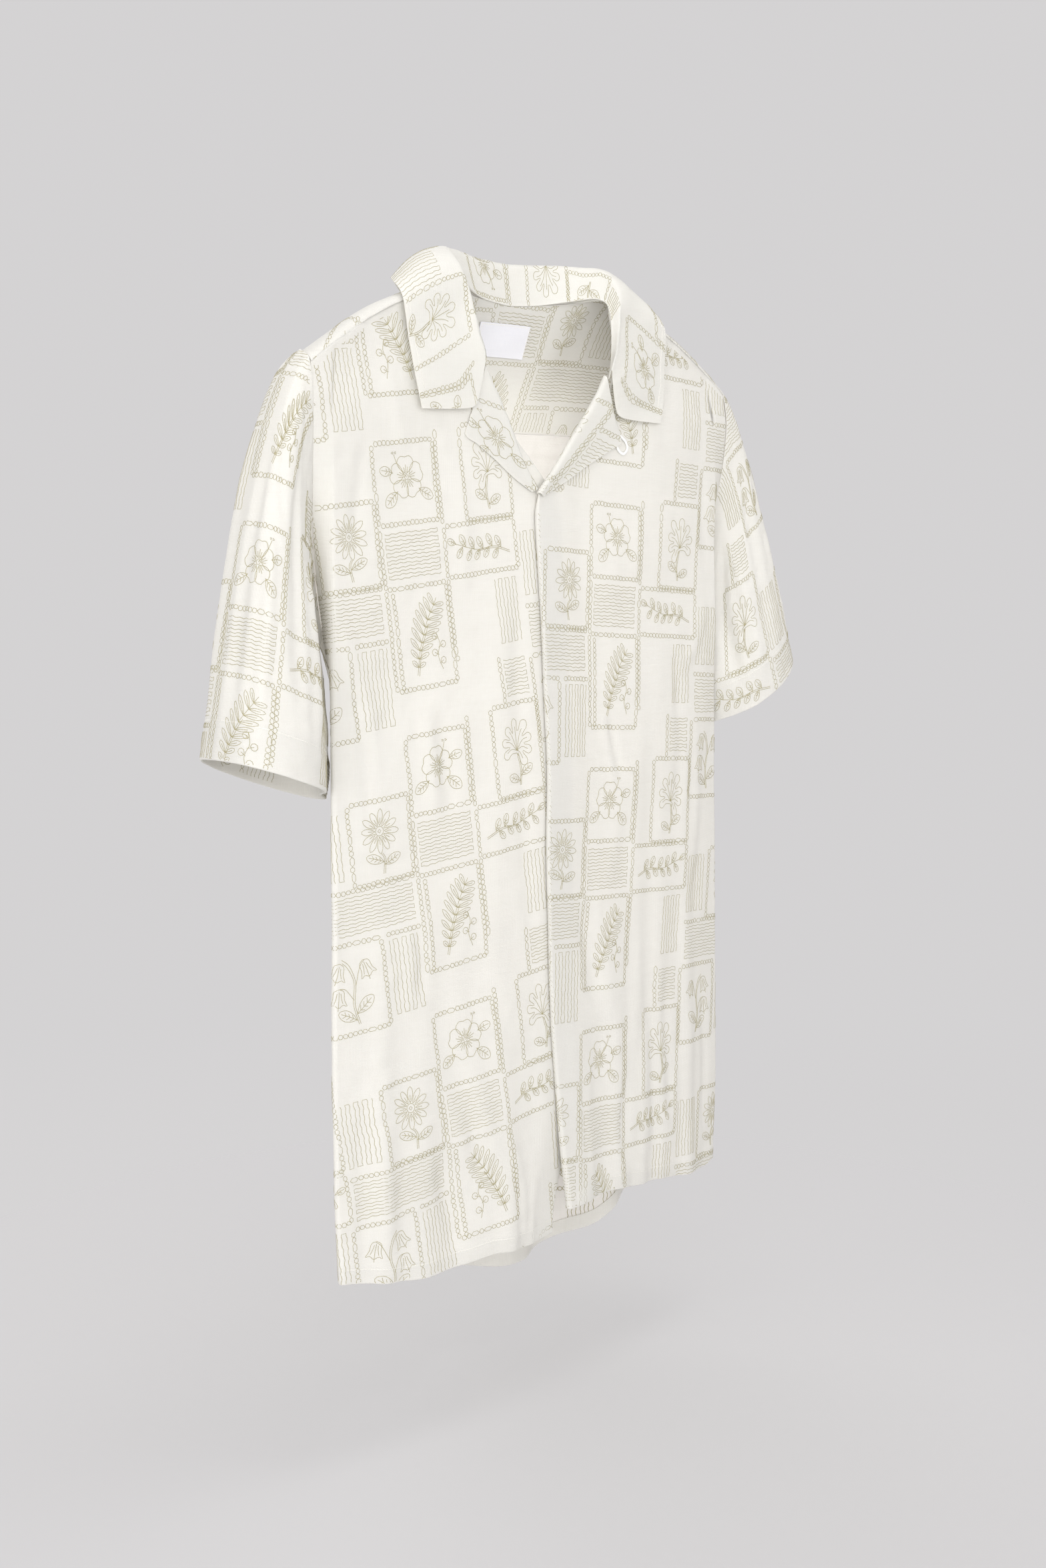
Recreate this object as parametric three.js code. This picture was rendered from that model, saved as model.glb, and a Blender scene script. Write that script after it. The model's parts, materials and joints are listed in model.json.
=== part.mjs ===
// Short-sleeved camp-collar shirt, filled out as on a general figure.
// Millimetres, +Z up, front faces -Y, the wearer's left is +X.
// Origin: on the centre line between the side neck points, where the wearer's
// shoulders carry the shirt.
import * as THREE from 'three';

// ---------- named sizes ----------
const CLOTH = 1.2;            // wall of one cloth panel
const YOKE_WALL = 1.0;        // outer yoke and inner yoke
const GAP = 0.3;              // clearance between pieces at a seam
const LAP = 10;               // each front edge runs this far past the centre line
const LAP_LIFT = 4.2;         // the left front lies this far in front of the right one
const LAP_FADE = 34;          // and settles back over this width
const BREAK_Z = -152;         // where the lapels break at the front edge
const YOKE_Z = -100;          // back yoke seam
const UNDERARM_Z = -255;      // lowest point of the armhole
const SEAM_Y = 5;             // front shoulder seam, just forward of the shoulder line
const LAPEL_LIFT = 2.4;       // lapel above the front
const COLLAR_LIFT = 4.6;      // collar leaf above the front
const SLEEVE_OFF = 0.9;       // sleeve edge clear of the armhole edge
const BUTTON_D = 10.5, BUTTON_T = 2.0, BUTTON_RIM = 0.35;
const BUTTON_TOP = -190, BUTTON_STEP = 97, BUTTONS = 5;   // sewn to the right front, under the left one
const FACING_W = 26, FACING_WALL = 1.0, FACING_TOP = -600, FACING_BOTTOM = -726;
const LOOP_D = 1.2;           // cord of the button loop
const LABEL_W = 53, LABEL_H = 25, LABEL_T = 0.8;

// ---------- grid sizes ----------
const FRONT_ROWS_TOP = 6, FRONT_ROWS = 21, FRONT_COLS = 10, TURN_COLS = 3;
const BACK_ROWS = 19, BACK_COLS = 30;
const YOKE_COLS = 24, YOKE_ROWS = 6;
const SLEEVE_ROWS = 8, SLEEVE_COLS = 28;
const COLLAR_COLS = 26, STAND_ROWS = 2, FALL_ROWS = 4;
const LAPEL_ROWS = 8, LAPEL_COLS = 4;

// ---------- tables ----------
// front centre line: height, depth
const MID = table('z y', [
  [20, 0], [-60, -2], [-110, -2], [-150, -2], [-200, -4], [-255, -7], [-315, -12],
  [-375, -15], [-490, -16], [-565, -19], [-655, -23], [-735, -27], [-810, -29]]);
// side of the front: the crest where it turns back, the turned part, and its outer
// seam (armhole above the underarm, side seam below it)
const SIDE = table('z crestX crestY turnX turnY seamX seamY', [
  [-40, 196, 5, 209, 5, 221, 5],
  [-62, 200, 4, 211, 4, 222, 5],
  [-90, 205, 1, 214, 1, 223, 2],
  [-120, 207, 0, 213.5, 1.5, 222, 4],
  [-150, 207, 0, 212.5, 4, 219, 8.5],
  [-185, 207.5, 0, 211.5, 6, 214, 15],
  [-220, 208, -0.5, 210.5, 6.5, 207.5, 19.5],
  [-255, 208, -1, 209.5, 6, 199, 22],
  [-300, 208, -1, 208.2, 5.5, 190.5, 16],
  [-350, 208.7, -1.2, 208.9, 5, 189, 15.5],
  [-420, 209.8, -1.7, 210, 4.6, 191, 15],
  [-500, 211.5, -2.2, 211.7, 4.2, 194, 15],
  [-565, 213, -2.6, 213.2, 3.6, 196, 14.5],
  [-655, 213.6, -4, 213.8, 2.4, 196, 13.5],
  [-728, 210.5, -4.5, 210.7, 1.8, 193, 12.5],
  [-810, 209, -5, 209.2, 1.4, 192, 12]]);
// outer edge of the back: armhole, then side seam; centre depth; roundness
const BACK = table('z seamX seamY midY power', [
  [-95, 218.6, 56, 80, 2.4],
  [-115, 216.5, 60, 88, 2.4],
  [-150, 211, 62.5, 101, 2.2],
  [-190, 205.5, 56, 111, 2.0],
  [-228, 201, 42, 116, 1.8],
  [-255, 198.6, 24, 118, 1.65],
  [-300, 190.1, 17, 118, 1.55],
  [-350, 188.6, 16.5, 116, 1.55],
  [-420, 190.6, 16, 111, 1.6],
  [-500, 193.6, 16, 104, 1.68],
  [-565, 195.6, 15.5, 98, 1.7],
  [-655, 195.6, 14.5, 90, 1.7],
  [-728, 192.6, 13.5, 84, 1.7],
  [-810, 191.6, 13, 80, 1.7]]);
// shoulder line and front shoulder seam over the distance from the centre
const SHOULDER = table('x ridgeZ seamZ', [
  [70, 12, 6], [78, 10, 4], [100, 4.5, -1], [127, -5, -10], [160, -18.5, -24],
  [201, -42.5, -48], [223, -57.5, -63], [240, -69, -74]]);
// back neck seam from centre back to the side neck
const NECK = table('k x y z', [
  [0, 0, 40, -4], [0.35, 32, 36.5, -2], [0.65, 57, 26.5, 1], [0.85, 71, 15.5, 3.5], [1, 78, 5, 4]]);
// neck edge of a front: side neck, collar roll, lapel roll down to the break
const NECK_FRONT = table('k x z', [
  [0, 78, 4], [0.2, 79.5, -26], [0.42, 77, -62], [0.6, 55, -88], [0.8, 29, -119], [1, 0, BREAK_Z]]);
// hems: height over x
const HEM_RIGHT = table('x z', [
  [-12, -741], [10, -742], [31, -741], [57, -738], [79, -736], [109, -738], [137, -739], [173, -735], [211, -729], [230, -728]]);
const HEM_LEFT = table('x z', [
  [-12, -713], [23, -714], [54, -717], [93, -723], [125, -727], [169, -733], [195, -735], [211, -732], [230, -731]]);
const HEM_BACK = table('x z', [
  [-215, -729], [-165, -750], [-120, -771], [-70, -786], [-12, -797], [29, -802], [60, -803], [97, -799],
  [125, -789], [150, -773], [180, -752], [215, -734]]);
// soft flutes of the back, wider towards the hem: place across, half width, depth at the hem
const FLUTE = table('at half deep top', [
  [-132, 44, 6, -300], [-78, 40, -8, -400], [-20, 42, 8, -330], [34, 38, -9, -380],
  [84, 38, 12, -300], [128, 32, -9, -430], [162, 26, 6, -340]]);
// soft vertical folds of the fronts
const FRONT_FOLD = table('at half deep top bottom', [
  [-176, 15, -2.6, -260, -742], [-120, 22, 2.6, -330, -742], [-62, 18, -3.0, -420, -742],
  [62, 20, -2.6, -380, -742], [112, 17, 3.4, -300, -742], [165, 16, -3.6, -240, -742]]);
// armhole edge of a sleeve, from the top over the front, the underarm and the back
const ARM = table('turn x y z', [
  [0, 221, 18, -55.5], [25, 222.6, 6, -62.5], [55, 223.6, 1.4, -90], [80, 222.6, 3.2, -118],
  [105, 219.6, 7.8, -149], [130, 214.8, 14.8, -184], [155, 208.4, 20, -219], [180, 200.4, 24.5, -255],
  [205, 202.4, 42.5, -228], [230, 206.6, 56.5, -190], [255, 211.8, 62.8, -150], [280, 217, 60, -115],
  [305, 220, 51, -85], [335, 221, 35, -63], [360, 221, 18, -55.5]]);
// sleeve hem ring, the same turns
const CUFF = table('turn x y', [
  [0, 299, 19], [25, 297, -3], [55, 283, -20], [80, 260, -26], [105, 238, -20], [130, 223, -6],
  [155, 207, 19], [180, 187, 41], [205, 184, 60], [230, 199, 77], [255, 223, 83], [280, 250, 79],
  [305, 274, 66], [335, 292, 44], [360, 299, 19]]);
// how each sleeve hangs: hem height at x = 245, its fall towards the body, shift of the ring
const HANG = {
  right: { hemZ: -354, perX: 0.36, shiftX: 0, shiftY: 0, wide: 1 },
  left: { hemZ: -324, perX: 0.66, shiftX: 4, shiftY: -6, wide: 0.98 } };
// collar: neck seam, fold line, outer edge, from centre back to the leaf end
const COLLAR = table('k nx ny nz fx fy fz ex ey ez', [
  [0, 0, 38.6, -3, 0, 43, 28, 0, 60, -25],
  [0.16, 27, 36, -0.8, 29, 40.5, 29, 40, 60, -22],
  [0.34, 54.5, 25, 3.6, 60, 32.5, 31, 88, 50, -12],
  [0.48, 70, 13, 6, 80, 21, 29.5, 124, 33, 3.5],
  [0.60, 76.5, 4.5, 2, 85, 4, 18, 139, 10, -4.5],
  [0.66, 77, 1, -6, 84, -2, 8, 140.5, -0.5, -18],
  [0.74, 76.5, -1.5, -18, 81, -7, -8, 139, -3, -38],
  [0.88, 74.5, -3.5, -40, 75, -10, -33, 136, -6, -66],
  [1, 70, -4, -58, 68, -10, -50, 130, -7, -92]]);
// collar end: from the fold line down the gorge to the notch, then the free leaf edge
const LEAF_END = table('k x z', [[0, 68, -50], [0.5, 76, -84], [0.56, 79, -88.5], [0.75, 101, -91], [1, 130, -92]]);
// lapel: roll line and free edge, from the break up to the gorge
const LAPEL = table('k rollX rollZ edgeX edgeZ', [
  [0, -2, -151, 2, -153], [0.25, 16, -130, 24, -142], [0.5, 33, -106, 50, -127],
  [0.75, 50, -83, 72, -115.5], [0.88, 58.5, -71, 85, -108], [1, 66, -59, 78, -91.5]]);

// ---------- small helpers ----------
function table(names, rows) {
  const keys = names.split(' ');
  return rows.map((r) => Object.fromEntries(keys.map((k, i) => [k, r[i]])));
}
// smooth lookup: cubic through the rows, held flat outside them
function look(rows, key, col, at) {
  const up = rows[rows.length - 1][key] > rows[0][key] ? 1 : -1;
  const v = at * up, K = (i) => rows[i][key] * up, V = (i) => rows[i][col];
  const n = rows.length;
  if (v <= K(0)) return V(0);
  if (v >= K(n - 1)) return V(n - 1);
  let i = 0;
  while (v > K(i + 1)) i++;
  const h = K(i + 1) - K(i), t = (v - K(i)) / h;
  const slope = (j) => {
    if (j === 0) return (V(1) - V(0)) / (K(1) - K(0));
    if (j === n - 1) return (V(n - 1) - V(n - 2)) / (K(n - 1) - K(n - 2));
    const a = (V(j) - V(j - 1)) / (K(j) - K(j - 1)), b = (V(j + 1) - V(j)) / (K(j + 1) - K(j));
    return a * b <= 0 ? 0 : 2 * a * b / (a + b);
  };
  const m0 = slope(i) * h, m1 = slope(i + 1) * h, t2 = t * t, t3 = t2 * t;
  return (2 * t3 - 3 * t2 + 1) * V(i) + (t3 - 2 * t2 + t) * m0 + (3 * t2 - 2 * t3) * V(i + 1) + (t3 - t2) * m1;
}
const mix = (a, b, t) => a + (b - a) * t;
const clamp = (v, a, b) => Math.min(b, Math.max(a, v));
const smooth = (a, b, v) => { const t = clamp((v - a) / (b - a), 0, 1); return t * t * (3 - 2 * t); };
const bump = (d, half) => (Math.abs(d) >= half ? 0 : Math.cos(Math.PI * d / half / 2) ** 2);
const seq = (n, f) => Array.from({ length: n + 1 }, (_, i) => f(i / n, i));
function bezier(a, b, c, d, t) {
  const s = 1 - t;
  return a.map((_, i) => a[i] * s * s * s + 3 * b[i] * s * s * t + 3 * c[i] * s * t * t + d[i] * t * t * t);
}
// the same polyline with evenly spaced points
function even(pts, n, cut0 = 0, cut1 = 0) {
  const run = [0];
  for (let i = 1; i < pts.length; i++) run.push(run[i - 1] + Math.hypot(...pts[i].map((v, j) => v - pts[i - 1][j])));
  const total = run[run.length - 1];
  return seq(n, (t) => {
    const at = mix(cut0, total - cut1, t);
    let i = 0;
    while (i < pts.length - 2 && run[i + 1] < at) i++;
    const k = (at - run[i]) / (run[i + 1] - run[i]);
    return pts[i].map((v, j) => mix(v, pts[i + 1][j], k));
  });
}

// ---------- cloth surfaces ----------
function frontFolds(x, z) {
  let y = 0;
  for (const f of FRONT_FOLD) y += f.deep * bump(x - f.at, f.half) * smooth(f.top, f.bottom, z);
  return y;
}
// depth of the front at a point of the front view
function frontY(x, z) {
  const ax = Math.abs(x);
  const crestX = look(SIDE, 'z', 'crestX', z), crestY = look(SIDE, 'z', 'crestY', z), midY = look(MID, 'z', 'y', z);
  let y = mix(midY, crestY, Math.min(1, ax / crestX) ** 2.4);
  const below = look(SHOULDER, 'x', 'seamZ', ax) - z;
  if (ax > 60) y = mix(SEAM_Y, y, smooth(-2, 55, below));
  return y + frontFolds(x, z);
}
function hemZ(side, x) {
  return side < 0 ? look(HEM_RIGHT, 'x', 'z', -x) : look(HEM_LEFT, 'x', 'z', x);
}
// one row of a front, from its neck or front edge to its outer seam
function frontRow(side, j) {
  const top = j <= FRONT_ROWS_TOP, k = j / FRONT_ROWS_TOP;
  const down = (j - FRONT_ROWS_TOP) / (FRONT_ROWS - FRONT_ROWS_TOP);
  const edgeX = side < 0 ? LAP : -LAP;                 // the left front ends on the right of centre
  const inner = top
    ? [side * look(NECK_FRONT, 'k', 'x', k) + edgeX * smooth(0.5, 1, k), look(NECK_FRONT, 'k', 'z', k)]
    : [edgeX, 0];
  const outerZ = top ? mix(-62.5, BREAK_Z - 3, k) : 0;
  const rowZ = (x, u) => {
    if (!top) return mix(BREAK_Z - 3 * u, hemZ(side, x), down);
    const flat = mix(inner[1], outerZ, u), flat0 = mix(4, -62.5, u);
    return flat + (1 - k) ** 1.5 * (look(SHOULDER, 'x', 'seamZ', Math.abs(x)) - flat0);
  };
  const pts = [];
  for (let i = 0; i <= FRONT_COLS; i++) {
    const u = i / FRONT_COLS;
    const zc = top ? mix(-57, BREAK_Z - 3, k) : mix(BREAK_Z - 3, hemZ(side, side * 205), down);
    const crestX = look(SIDE, 'z', 'crestX', zc);
    const x = mix(inner[0], side * crestX, u), z = rowZ(x, u * 0.92);
    const lift = side > 0 ? LAP_LIFT * (1 - smooth(LAP, LAP + LAP_FADE, x)) * smooth(-110, -150, z) : 0;
    pts.push([x, frontY(x, z) - lift, z]);
  }
  // the turned part, from the crest to the seam
  for (let i = 1; i <= TURN_COLS; i++) {
    const t = i / TURN_COLS;
    const z = top ? rowZ(side * mix(mix(198, 207, k), mix(223, 219, k), t), mix(0.92, 1, t)) : mix(BREAK_Z - 3, hemZ(side, side * 211), down);
    const g = (c) => look(SIDE, 'z', c, z);
    const fold = frontFolds(side * g('crestX'), z) * (1 - t);
    const q = (a, b, c) => a * (1 - t) * (1 - t) + 2 * (2 * b - (a + c) / 2) * t * (1 - t) + c * t * t;
    pts.push([side * q(g('crestX'), mix(g('turnX'), (g('crestX') + g('seamX')) / 2, 0), g('seamX')),
      q(g('crestY'), g('turnY'), g('seamY')) + fold, z]);
  }
  return pts;
}
const front = (side) => seq(FRONT_ROWS, (_, j) => frontRow(side, j).map(([x, y, z]) => [x, y, j === 0 ? z - 0.8 : z]));

// a level line of the back between its two outer seams
function backRow(v) {
  const level = (x) => mix(YOKE_Z, look(HEM_BACK, 'x', 'z', x), v);
  const half = (side) => {
    const out = [];
    for (let i = 0; i <= 60; i++) {
      const a = i / 60 * Math.PI / 2;
      const z0 = level(side * 200 * Math.cos(a)), g = (c) => look(BACK, 'z', c, z0), e = 2 / g('power');
      out.push([side * g('seamX') * Math.cos(a) ** e, mix(g('seamY'), g('midY'), Math.sin(a) ** e), z0]);
    }
    return out;
  };
  const line = [...half(-1), ...half(1).reverse().slice(1)];
  return even(line, BACK_COLS).map(([x, y, z]) => {
    let d = 0;
    for (const f of FLUTE) d += f.deep * bump(x - f.at, f.half) * smooth(f.top, -790, z);
    return [x, y + d, z];
  });
}
const back = () => seq(BACK_ROWS, (v) => backRow(v));

// the yoke from the neck or front shoulder seam over the shoulder to the back yoke seam
function yokeColumn(c) {
  const side = c < 0 ? -1 : 1, a = Math.abs(c), SPLIT = 0.36;
  const base = backRow(0), f = (c + 1) / 2 * BACK_COLS, i = Math.min(BACK_COLS - 1, Math.floor(f));
  const foot = base[i].map((q, n) => mix(q, base[i + 1][n], f - i));
  foot[2] += GAP;
  let head, p1, p2;
  if (a <= SPLIT) {
    const k = a / SPLIT, n = (s) => look(NECK, 'k', s, k);
    head = [side * n('x'), n('y'), n('z')];
    p1 = [side * (n('x') + mix(1, 0, k)), n('y') + mix(3, 9, k), n('z') + mix(-18, 12, k)];
    p2 = [mix(foot[0], head[0], 0.4), mix(57, 52, k), mix(-62, -14, k * k)];
  } else {
    const x = mix(78, 222, (a - SPLIT) / (1 - SPLIT)), k = (a - SPLIT) / (1 - SPLIT);
    const ridge = look(SHOULDER, 'x', 'ridgeZ', x);
    head = [side * x, SEAM_Y + GAP, look(SHOULDER, 'x', 'seamZ', x) + GAP];
    p1 = [side * x, mix(14, 12, k), ridge + mix(8, 6, k)];
    p2 = [mix(foot[0], head[0], 0.4), mix(52, 44, k), ridge + mix(-24, -2, k)];
  }
  return seq(YOKE_ROWS, (t) => bezier(head, p1, p2, foot, t));
}
const turned = (g) => g[0].map((_, i) => g.map((r) => r[i]));
const innerYoke = (g) => moved(trimmed(g, 5.5, 1.5, 1.5, 1.5), YOKE_WALL + GAP + 0.6);
const yoke = () => turned(seq(YOKE_COLS, (t) => yokeColumn(t * 2 - 1)));

function sleeve(side) {
  const hang = side < 0 ? HANG.right : HANG.left;
  return seq(SLEEVE_ROWS, (t) => Array.from({ length: SLEEVE_COLS }, (_, i) => {
    const turn = i / SLEEVE_COLS * 360, A = (c) => look(ARM, 'turn', c, turn), C = (c) => look(CUFF, 'turn', c, turn);
    const hx = 245 + (C('x') - 245) * hang.wide + hang.shiftX, hy = 28 + (C('y') - 28) * hang.wide + hang.shiftY;
    const hz = hang.hemZ + hang.perX * (hx - 245);
    const up = 0.5 + 0.5 * Math.cos(turn * Math.PI / 180);           // 1 at the top of the cap
    const P0 = [A('x') + SLEEVE_OFF, A('y'), A('z')], P3 = [hx, hy, hz];
    const len = Math.hypot(P3[0] - P0[0], P3[2] - P0[2]);
    const P1 = [P0[0] + mix(6, 33, up), mix(P0[1], P3[1], 0.15), P0[2] - mix(0.3 * len, 26, up)];
    const P2 = [P3[0] - hang.perX * len * 0.12 - 4, mix(P3[1], P0[1], 0.3), P3[2] + len * 0.36];
    const p = bezier(P0, P1, P2, P3, t);
    return [side * p[0], p[1], p[2]];
  }));
}

function collar() {
  const station = (c) => {
    const side = c < 0 ? -1 : 1, k = Math.abs(c), g = (n) => look(COLLAR, 'k', n, k);
    const N = [g('nx'), g('ny'), g('nz')], F = [g('fx'), g('fy'), g('fz')], E = [g('ex'), g('ey'), g('ez')];
    const end = smooth(0.86, 1, k), high = 1 - smooth(0.5, 0.8, k);
    const pts = [];
    for (let i = 0; i < STAND_ROWS; i++) pts.push(N.map((v, n) => mix(v, F[n], i / STAND_ROWS)));
    // the fall: rises off the fold and drops to the edge
    for (let i = 0; i <= FALL_ROWS; i++) {
      const t = i / FALL_ROWS, arch = 4 * t * (1 - t);
      const p = F.map((v, n) => mix(v, E[n], t));
      p[2] += arch * 7 * high; p[1] += arch * (k < 0.4 ? 3 : 0);
      if (end > 0) {
        const q = [look(LEAF_END, 'k', 'x', t), look(LEAF_END, 'k', 'z', t)];
        p[0] = mix(p[0], q[0], end); p[2] = mix(p[2], q[1], end);
      }
      // on the front the leaf lies on the cloth below it
      const on = smooth(0.6, 0.78, k);
      if (on > 0) p[1] = mix(p[1], frontY(side * p[0], p[2]) - COLLAR_LIFT - 2.5 * (1 - t) * (1 - t), on * smooth(0, 0.2, t + 0.12));
      pts.push(p);
    }
    return pts.map((p) => [side * p[0], p[1], p[2]]);
  };
  return turned(seq(COLLAR_COLS, (t) => station(t * 2 - 1)));
}

function lapel(side) {
  const shift = side > 0 ? -LAP : -LAP - 4;              // the break lies on the left front's edge
  return seq(LAPEL_ROWS, (k) => seq(LAPEL_COLS, (t) => {
    const g = (n) => look(LAPEL, 'k', n, k);
    const low = 1 - smooth(0, 0.9, k);
    const x = side * mix(g('rollX'), g('edgeX'), t) + shift * low;
    const z = mix(g('rollZ'), g('edgeZ'), t) + (side < 0 ? 3.5 * low : 0);
    const over = side > 0 ? LAP_LIFT * low + 0.4 : 0;
    const roll = 1.2 * (1 - t) * (1 - t);
    return [x, frontY(x, z) - LAPEL_LIFT - over - roll, z];
  }));
}

// strip behind the left front's edge, where the fronts part at the hem
function facing() {
  return seq(6, (v) => seq(3, (u) => {
    const x = mix(-LAP - 1, -LAP - 1 + FACING_W, u), z = mix(FACING_TOP, FACING_BOTTOM + 14 * u, v);
    const lift = LAP_LIFT * (1 - smooth(LAP, LAP + LAP_FADE, x));
    return [x, frontY(x, z) - lift + CLOTH / 2 + GAP + FACING_WALL / 2 + 0.1, z];
  }));
}
// label on the inner yoke, from the yoke's own points
function label() {
  const at = (c, z) => {
    const col = yokeColumn(c);
    let i = 0;
    while (i < YOKE_ROWS - 1 && col[i + 1][2] > z) i++;
    const k = (z - col[i][2]) / (col[i + 1][2] - col[i][2]);
    return col[i].map((v, n) => mix(v, col[i + 1][n], k));
  };
  const span = 0.36 * 0.285;                              // half the label, across the yoke
  const g = seq(4, (v) => seq(6, (u) => at(mix(-span, span, u), -20 - LABEL_H * v)));
  const sign = moved(g, 1)[2][3][1] < g[2][3][1] ? 1 : -1;
  return moved(g, sign * (YOKE_WALL * 1.5 + 2 * GAP + 0.6 + LABEL_T / 2 + 0.4));
}
// cord loop that peeps out below the tip of the left lapel
function loop() {
  const path = [[78.5, -105], [81, -111.5], [84.5, -116], [89.5, -117.5], [93.5, -113.5], [92, -108.5], [87, -104.6], [83, -102.5]];
  const curve = new THREE.CatmullRomCurve3(path.map(([x, z]) => new THREE.Vector3(x, frontY(x, z) - CLOTH / 2 - GAP - LOOP_D / 2 + 0.05, z)));
  const ring = new THREE.Shape(Array.from({ length: 8 }, (_, i) => new THREE.Vector2(Math.cos(i * Math.PI / 4), Math.sin(i * Math.PI / 4)).multiplyScalar(LOOP_D / 2)));
  return new THREE.ExtrudeGeometry(ring, { steps: 20, extrudePath: curve, curveSegments: 8 });
}
// round sew-through button with a raised rim, turned about its own Y
function button() {
  const r = BUTTON_D / 2, t = BUTTON_T / 2, N = 24;
  const rings = [[r - 0.6, -t], [r, -t + 0.7], [r, t - 0.4], [r - 0.4, t], [r - 1.3, t], [r - 1.9, t - BUTTON_RIM]];
  const pos = [0, -t, 0], idx = [], at = (j, i) => 1 + j * N + (i % N);
  for (const [x, y] of rings) for (let i = 0; i < N; i++) pos.push(x * Math.cos(i / N * 2 * Math.PI), y, x * Math.sin(i / N * 2 * Math.PI));
  pos.push(0, t - BUTTON_RIM, 0);
  const top = pos.length / 3 - 1;
  for (let i = 0; i < N; i++) {
    idx.push(0, at(0, i + 1), at(0, i), top, at(rings.length - 1, i), at(rings.length - 1, i + 1));
    for (let j = 0; j < rings.length - 1; j++) idx.push(at(j, i), at(j, i + 1), at(j + 1, i), at(j, i + 1), at(j + 1, i + 1), at(j + 1, i));
  }
  return solid(pos, idx);
}

// ---------- solids ----------
function normals(g, closed) {
  const R = g.length, C = g[0].length;
  return g.map((row, j) => row.map((_, i) => {
    const a = g[Math.max(0, j - 1)][i], b = g[Math.min(R - 1, j + 1)][i];
    const c = closed ? g[j][(i + C - 1) % C] : g[j][Math.max(0, i - 1)], d = closed ? g[j][(i + 1) % C] : g[j][Math.min(C - 1, i + 1)];
    const u = new THREE.Vector3(...b).sub(new THREE.Vector3(...a)), v = new THREE.Vector3(...d).sub(new THREE.Vector3(...c));
    return u.cross(v).normalize();
  }));
}
// grid of points moved along its normals
function moved(g, by, closed = false) {
  const n = normals(g, closed);
  return g.map((row, j) => row.map((p, i) => [p[0] + n[j][i].x * by, p[1] + n[j][i].y * by, p[2] + n[j][i].z * by]));
}
// a wall of cloth on both sides of a grid of points
function wall(g, thick, closed = false) {
  const R = g.length, C = g[0].length, A = moved(g, thick / 2, closed), B = moved(g, -thick / 2, closed);
  const pos = [], idx = [];
  for (const s of [A, B]) for (const row of s) for (const p of row) pos.push(...p);
  const at = (s, j, i) => s * R * C + j * C + (i % C);
  const quad = (a, b, c, d) => idx.push(a, b, c, a, c, d);
  const last = closed ? C : C - 1;
  for (let j = 0; j < R - 1; j++) for (let i = 0; i < last; i++) {
    quad(at(0, j, i), at(0, j + 1, i), at(0, j + 1, i + 1), at(0, j, i + 1));
    quad(at(1, j, i), at(1, j, i + 1), at(1, j + 1, i + 1), at(1, j + 1, i));
  }
  for (let i = 0; i < last; i++) {
    quad(at(0, 0, i), at(0, 0, i + 1), at(1, 0, i + 1), at(1, 0, i));
    quad(at(0, R - 1, i), at(1, R - 1, i), at(1, R - 1, i + 1), at(0, R - 1, i + 1));
  }
  if (!closed) for (let j = 0; j < R - 1; j++) {
    quad(at(0, j, 0), at(1, j, 0), at(1, j + 1, 0), at(0, j + 1, 0));
    quad(at(0, j, C - 1), at(0, j + 1, C - 1), at(1, j + 1, C - 1), at(1, j, C - 1));
  }
  return solid(pos, idx);
}
function solid(pos, idx) {
  let vol = 0;
  for (let i = 0; i < idx.length; i += 3) {
    const p = [0, 1, 2].map((n) => new THREE.Vector3().fromArray(pos, idx[i + n] * 3));
    vol += p[0].dot(p[1].clone().cross(p[2]));
  }
  if (vol < 0) for (let i = 0; i < idx.length; i += 3) [idx[i + 1], idx[i + 2]] = [idx[i + 2], idx[i + 1]];
  const geo = new THREE.BufferGeometry();
  geo.setAttribute('position', new THREE.Float32BufferAttribute(pos, 3));
  geo.setIndex(idx);
  geo.computeVertexNormals();
  return geo;
}
// a grid without a narrow strip along its edges: rows first and last, columns first and last
function trimmed(g, r0, r1, c0, c1) {
  const cut = (line, a, b) => {
    const out = line.map((p) => [...p]), n = line.length;
    const pull = (i, j, by) => {
      if (!by) return;
      const d = Math.hypot(...line[j].map((v, m) => v - line[i][m]));
      out[i] = line[i].map((v, m) => mix(v, line[j][m], Math.min(0.6, by / d)));
    };
    pull(0, 1, a); pull(n - 1, n - 2, b);
    return out;
  };
  let out = g.map((row) => cut(row, c0, c1));
  out = turned(turned(out).map((col) => cut(col, r0, r1)));
  return out;
}

const group = new THREE.Group();
const CREAM = 0xf3f1ea, WHITE = 0xf6f4f4, SHELL = 0xefece4;
function add(name, geo, colour = CREAM, rough = 0.85) {
  const mesh = new THREE.Mesh(geo, new THREE.MeshStandardMaterial({ color: colour, roughness: rough, metalness: 0 }));
  mesh.name = name;
  group.add(mesh);
  return mesh;
}

// fronts
const gRight = front(-1), gLeft = front(1);
add('right_front', wall(trimmed(gRight, 1.1, 0, 0, GAP / 2), CLOTH));
add('left_front', wall(trimmed(gLeft, 1.1, 0, 0, GAP / 2), CLOTH));
// back and yokes
const gBack = back(), gYoke = yoke();
add('back', wall(trimmed(gBack, GAP, 0, GAP / 2, GAP / 2), CLOTH));
add('yoke', wall(gYoke, YOKE_WALL));
add('inner_yoke', wall(innerYoke(gYoke), YOKE_WALL));
// sleeves
add('right_sleeve', wall(sleeve(-1), CLOTH, true));
add('left_sleeve', wall(sleeve(1), CLOTH, true));
// collar and lapels
add('collar', wall(collar(), CLOTH));
add('right_lapel', wall(lapel(-1), CLOTH));
add('left_lapel', wall(lapel(1), CLOTH));

add('left_facing', wall(facing(), FACING_WALL));
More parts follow.
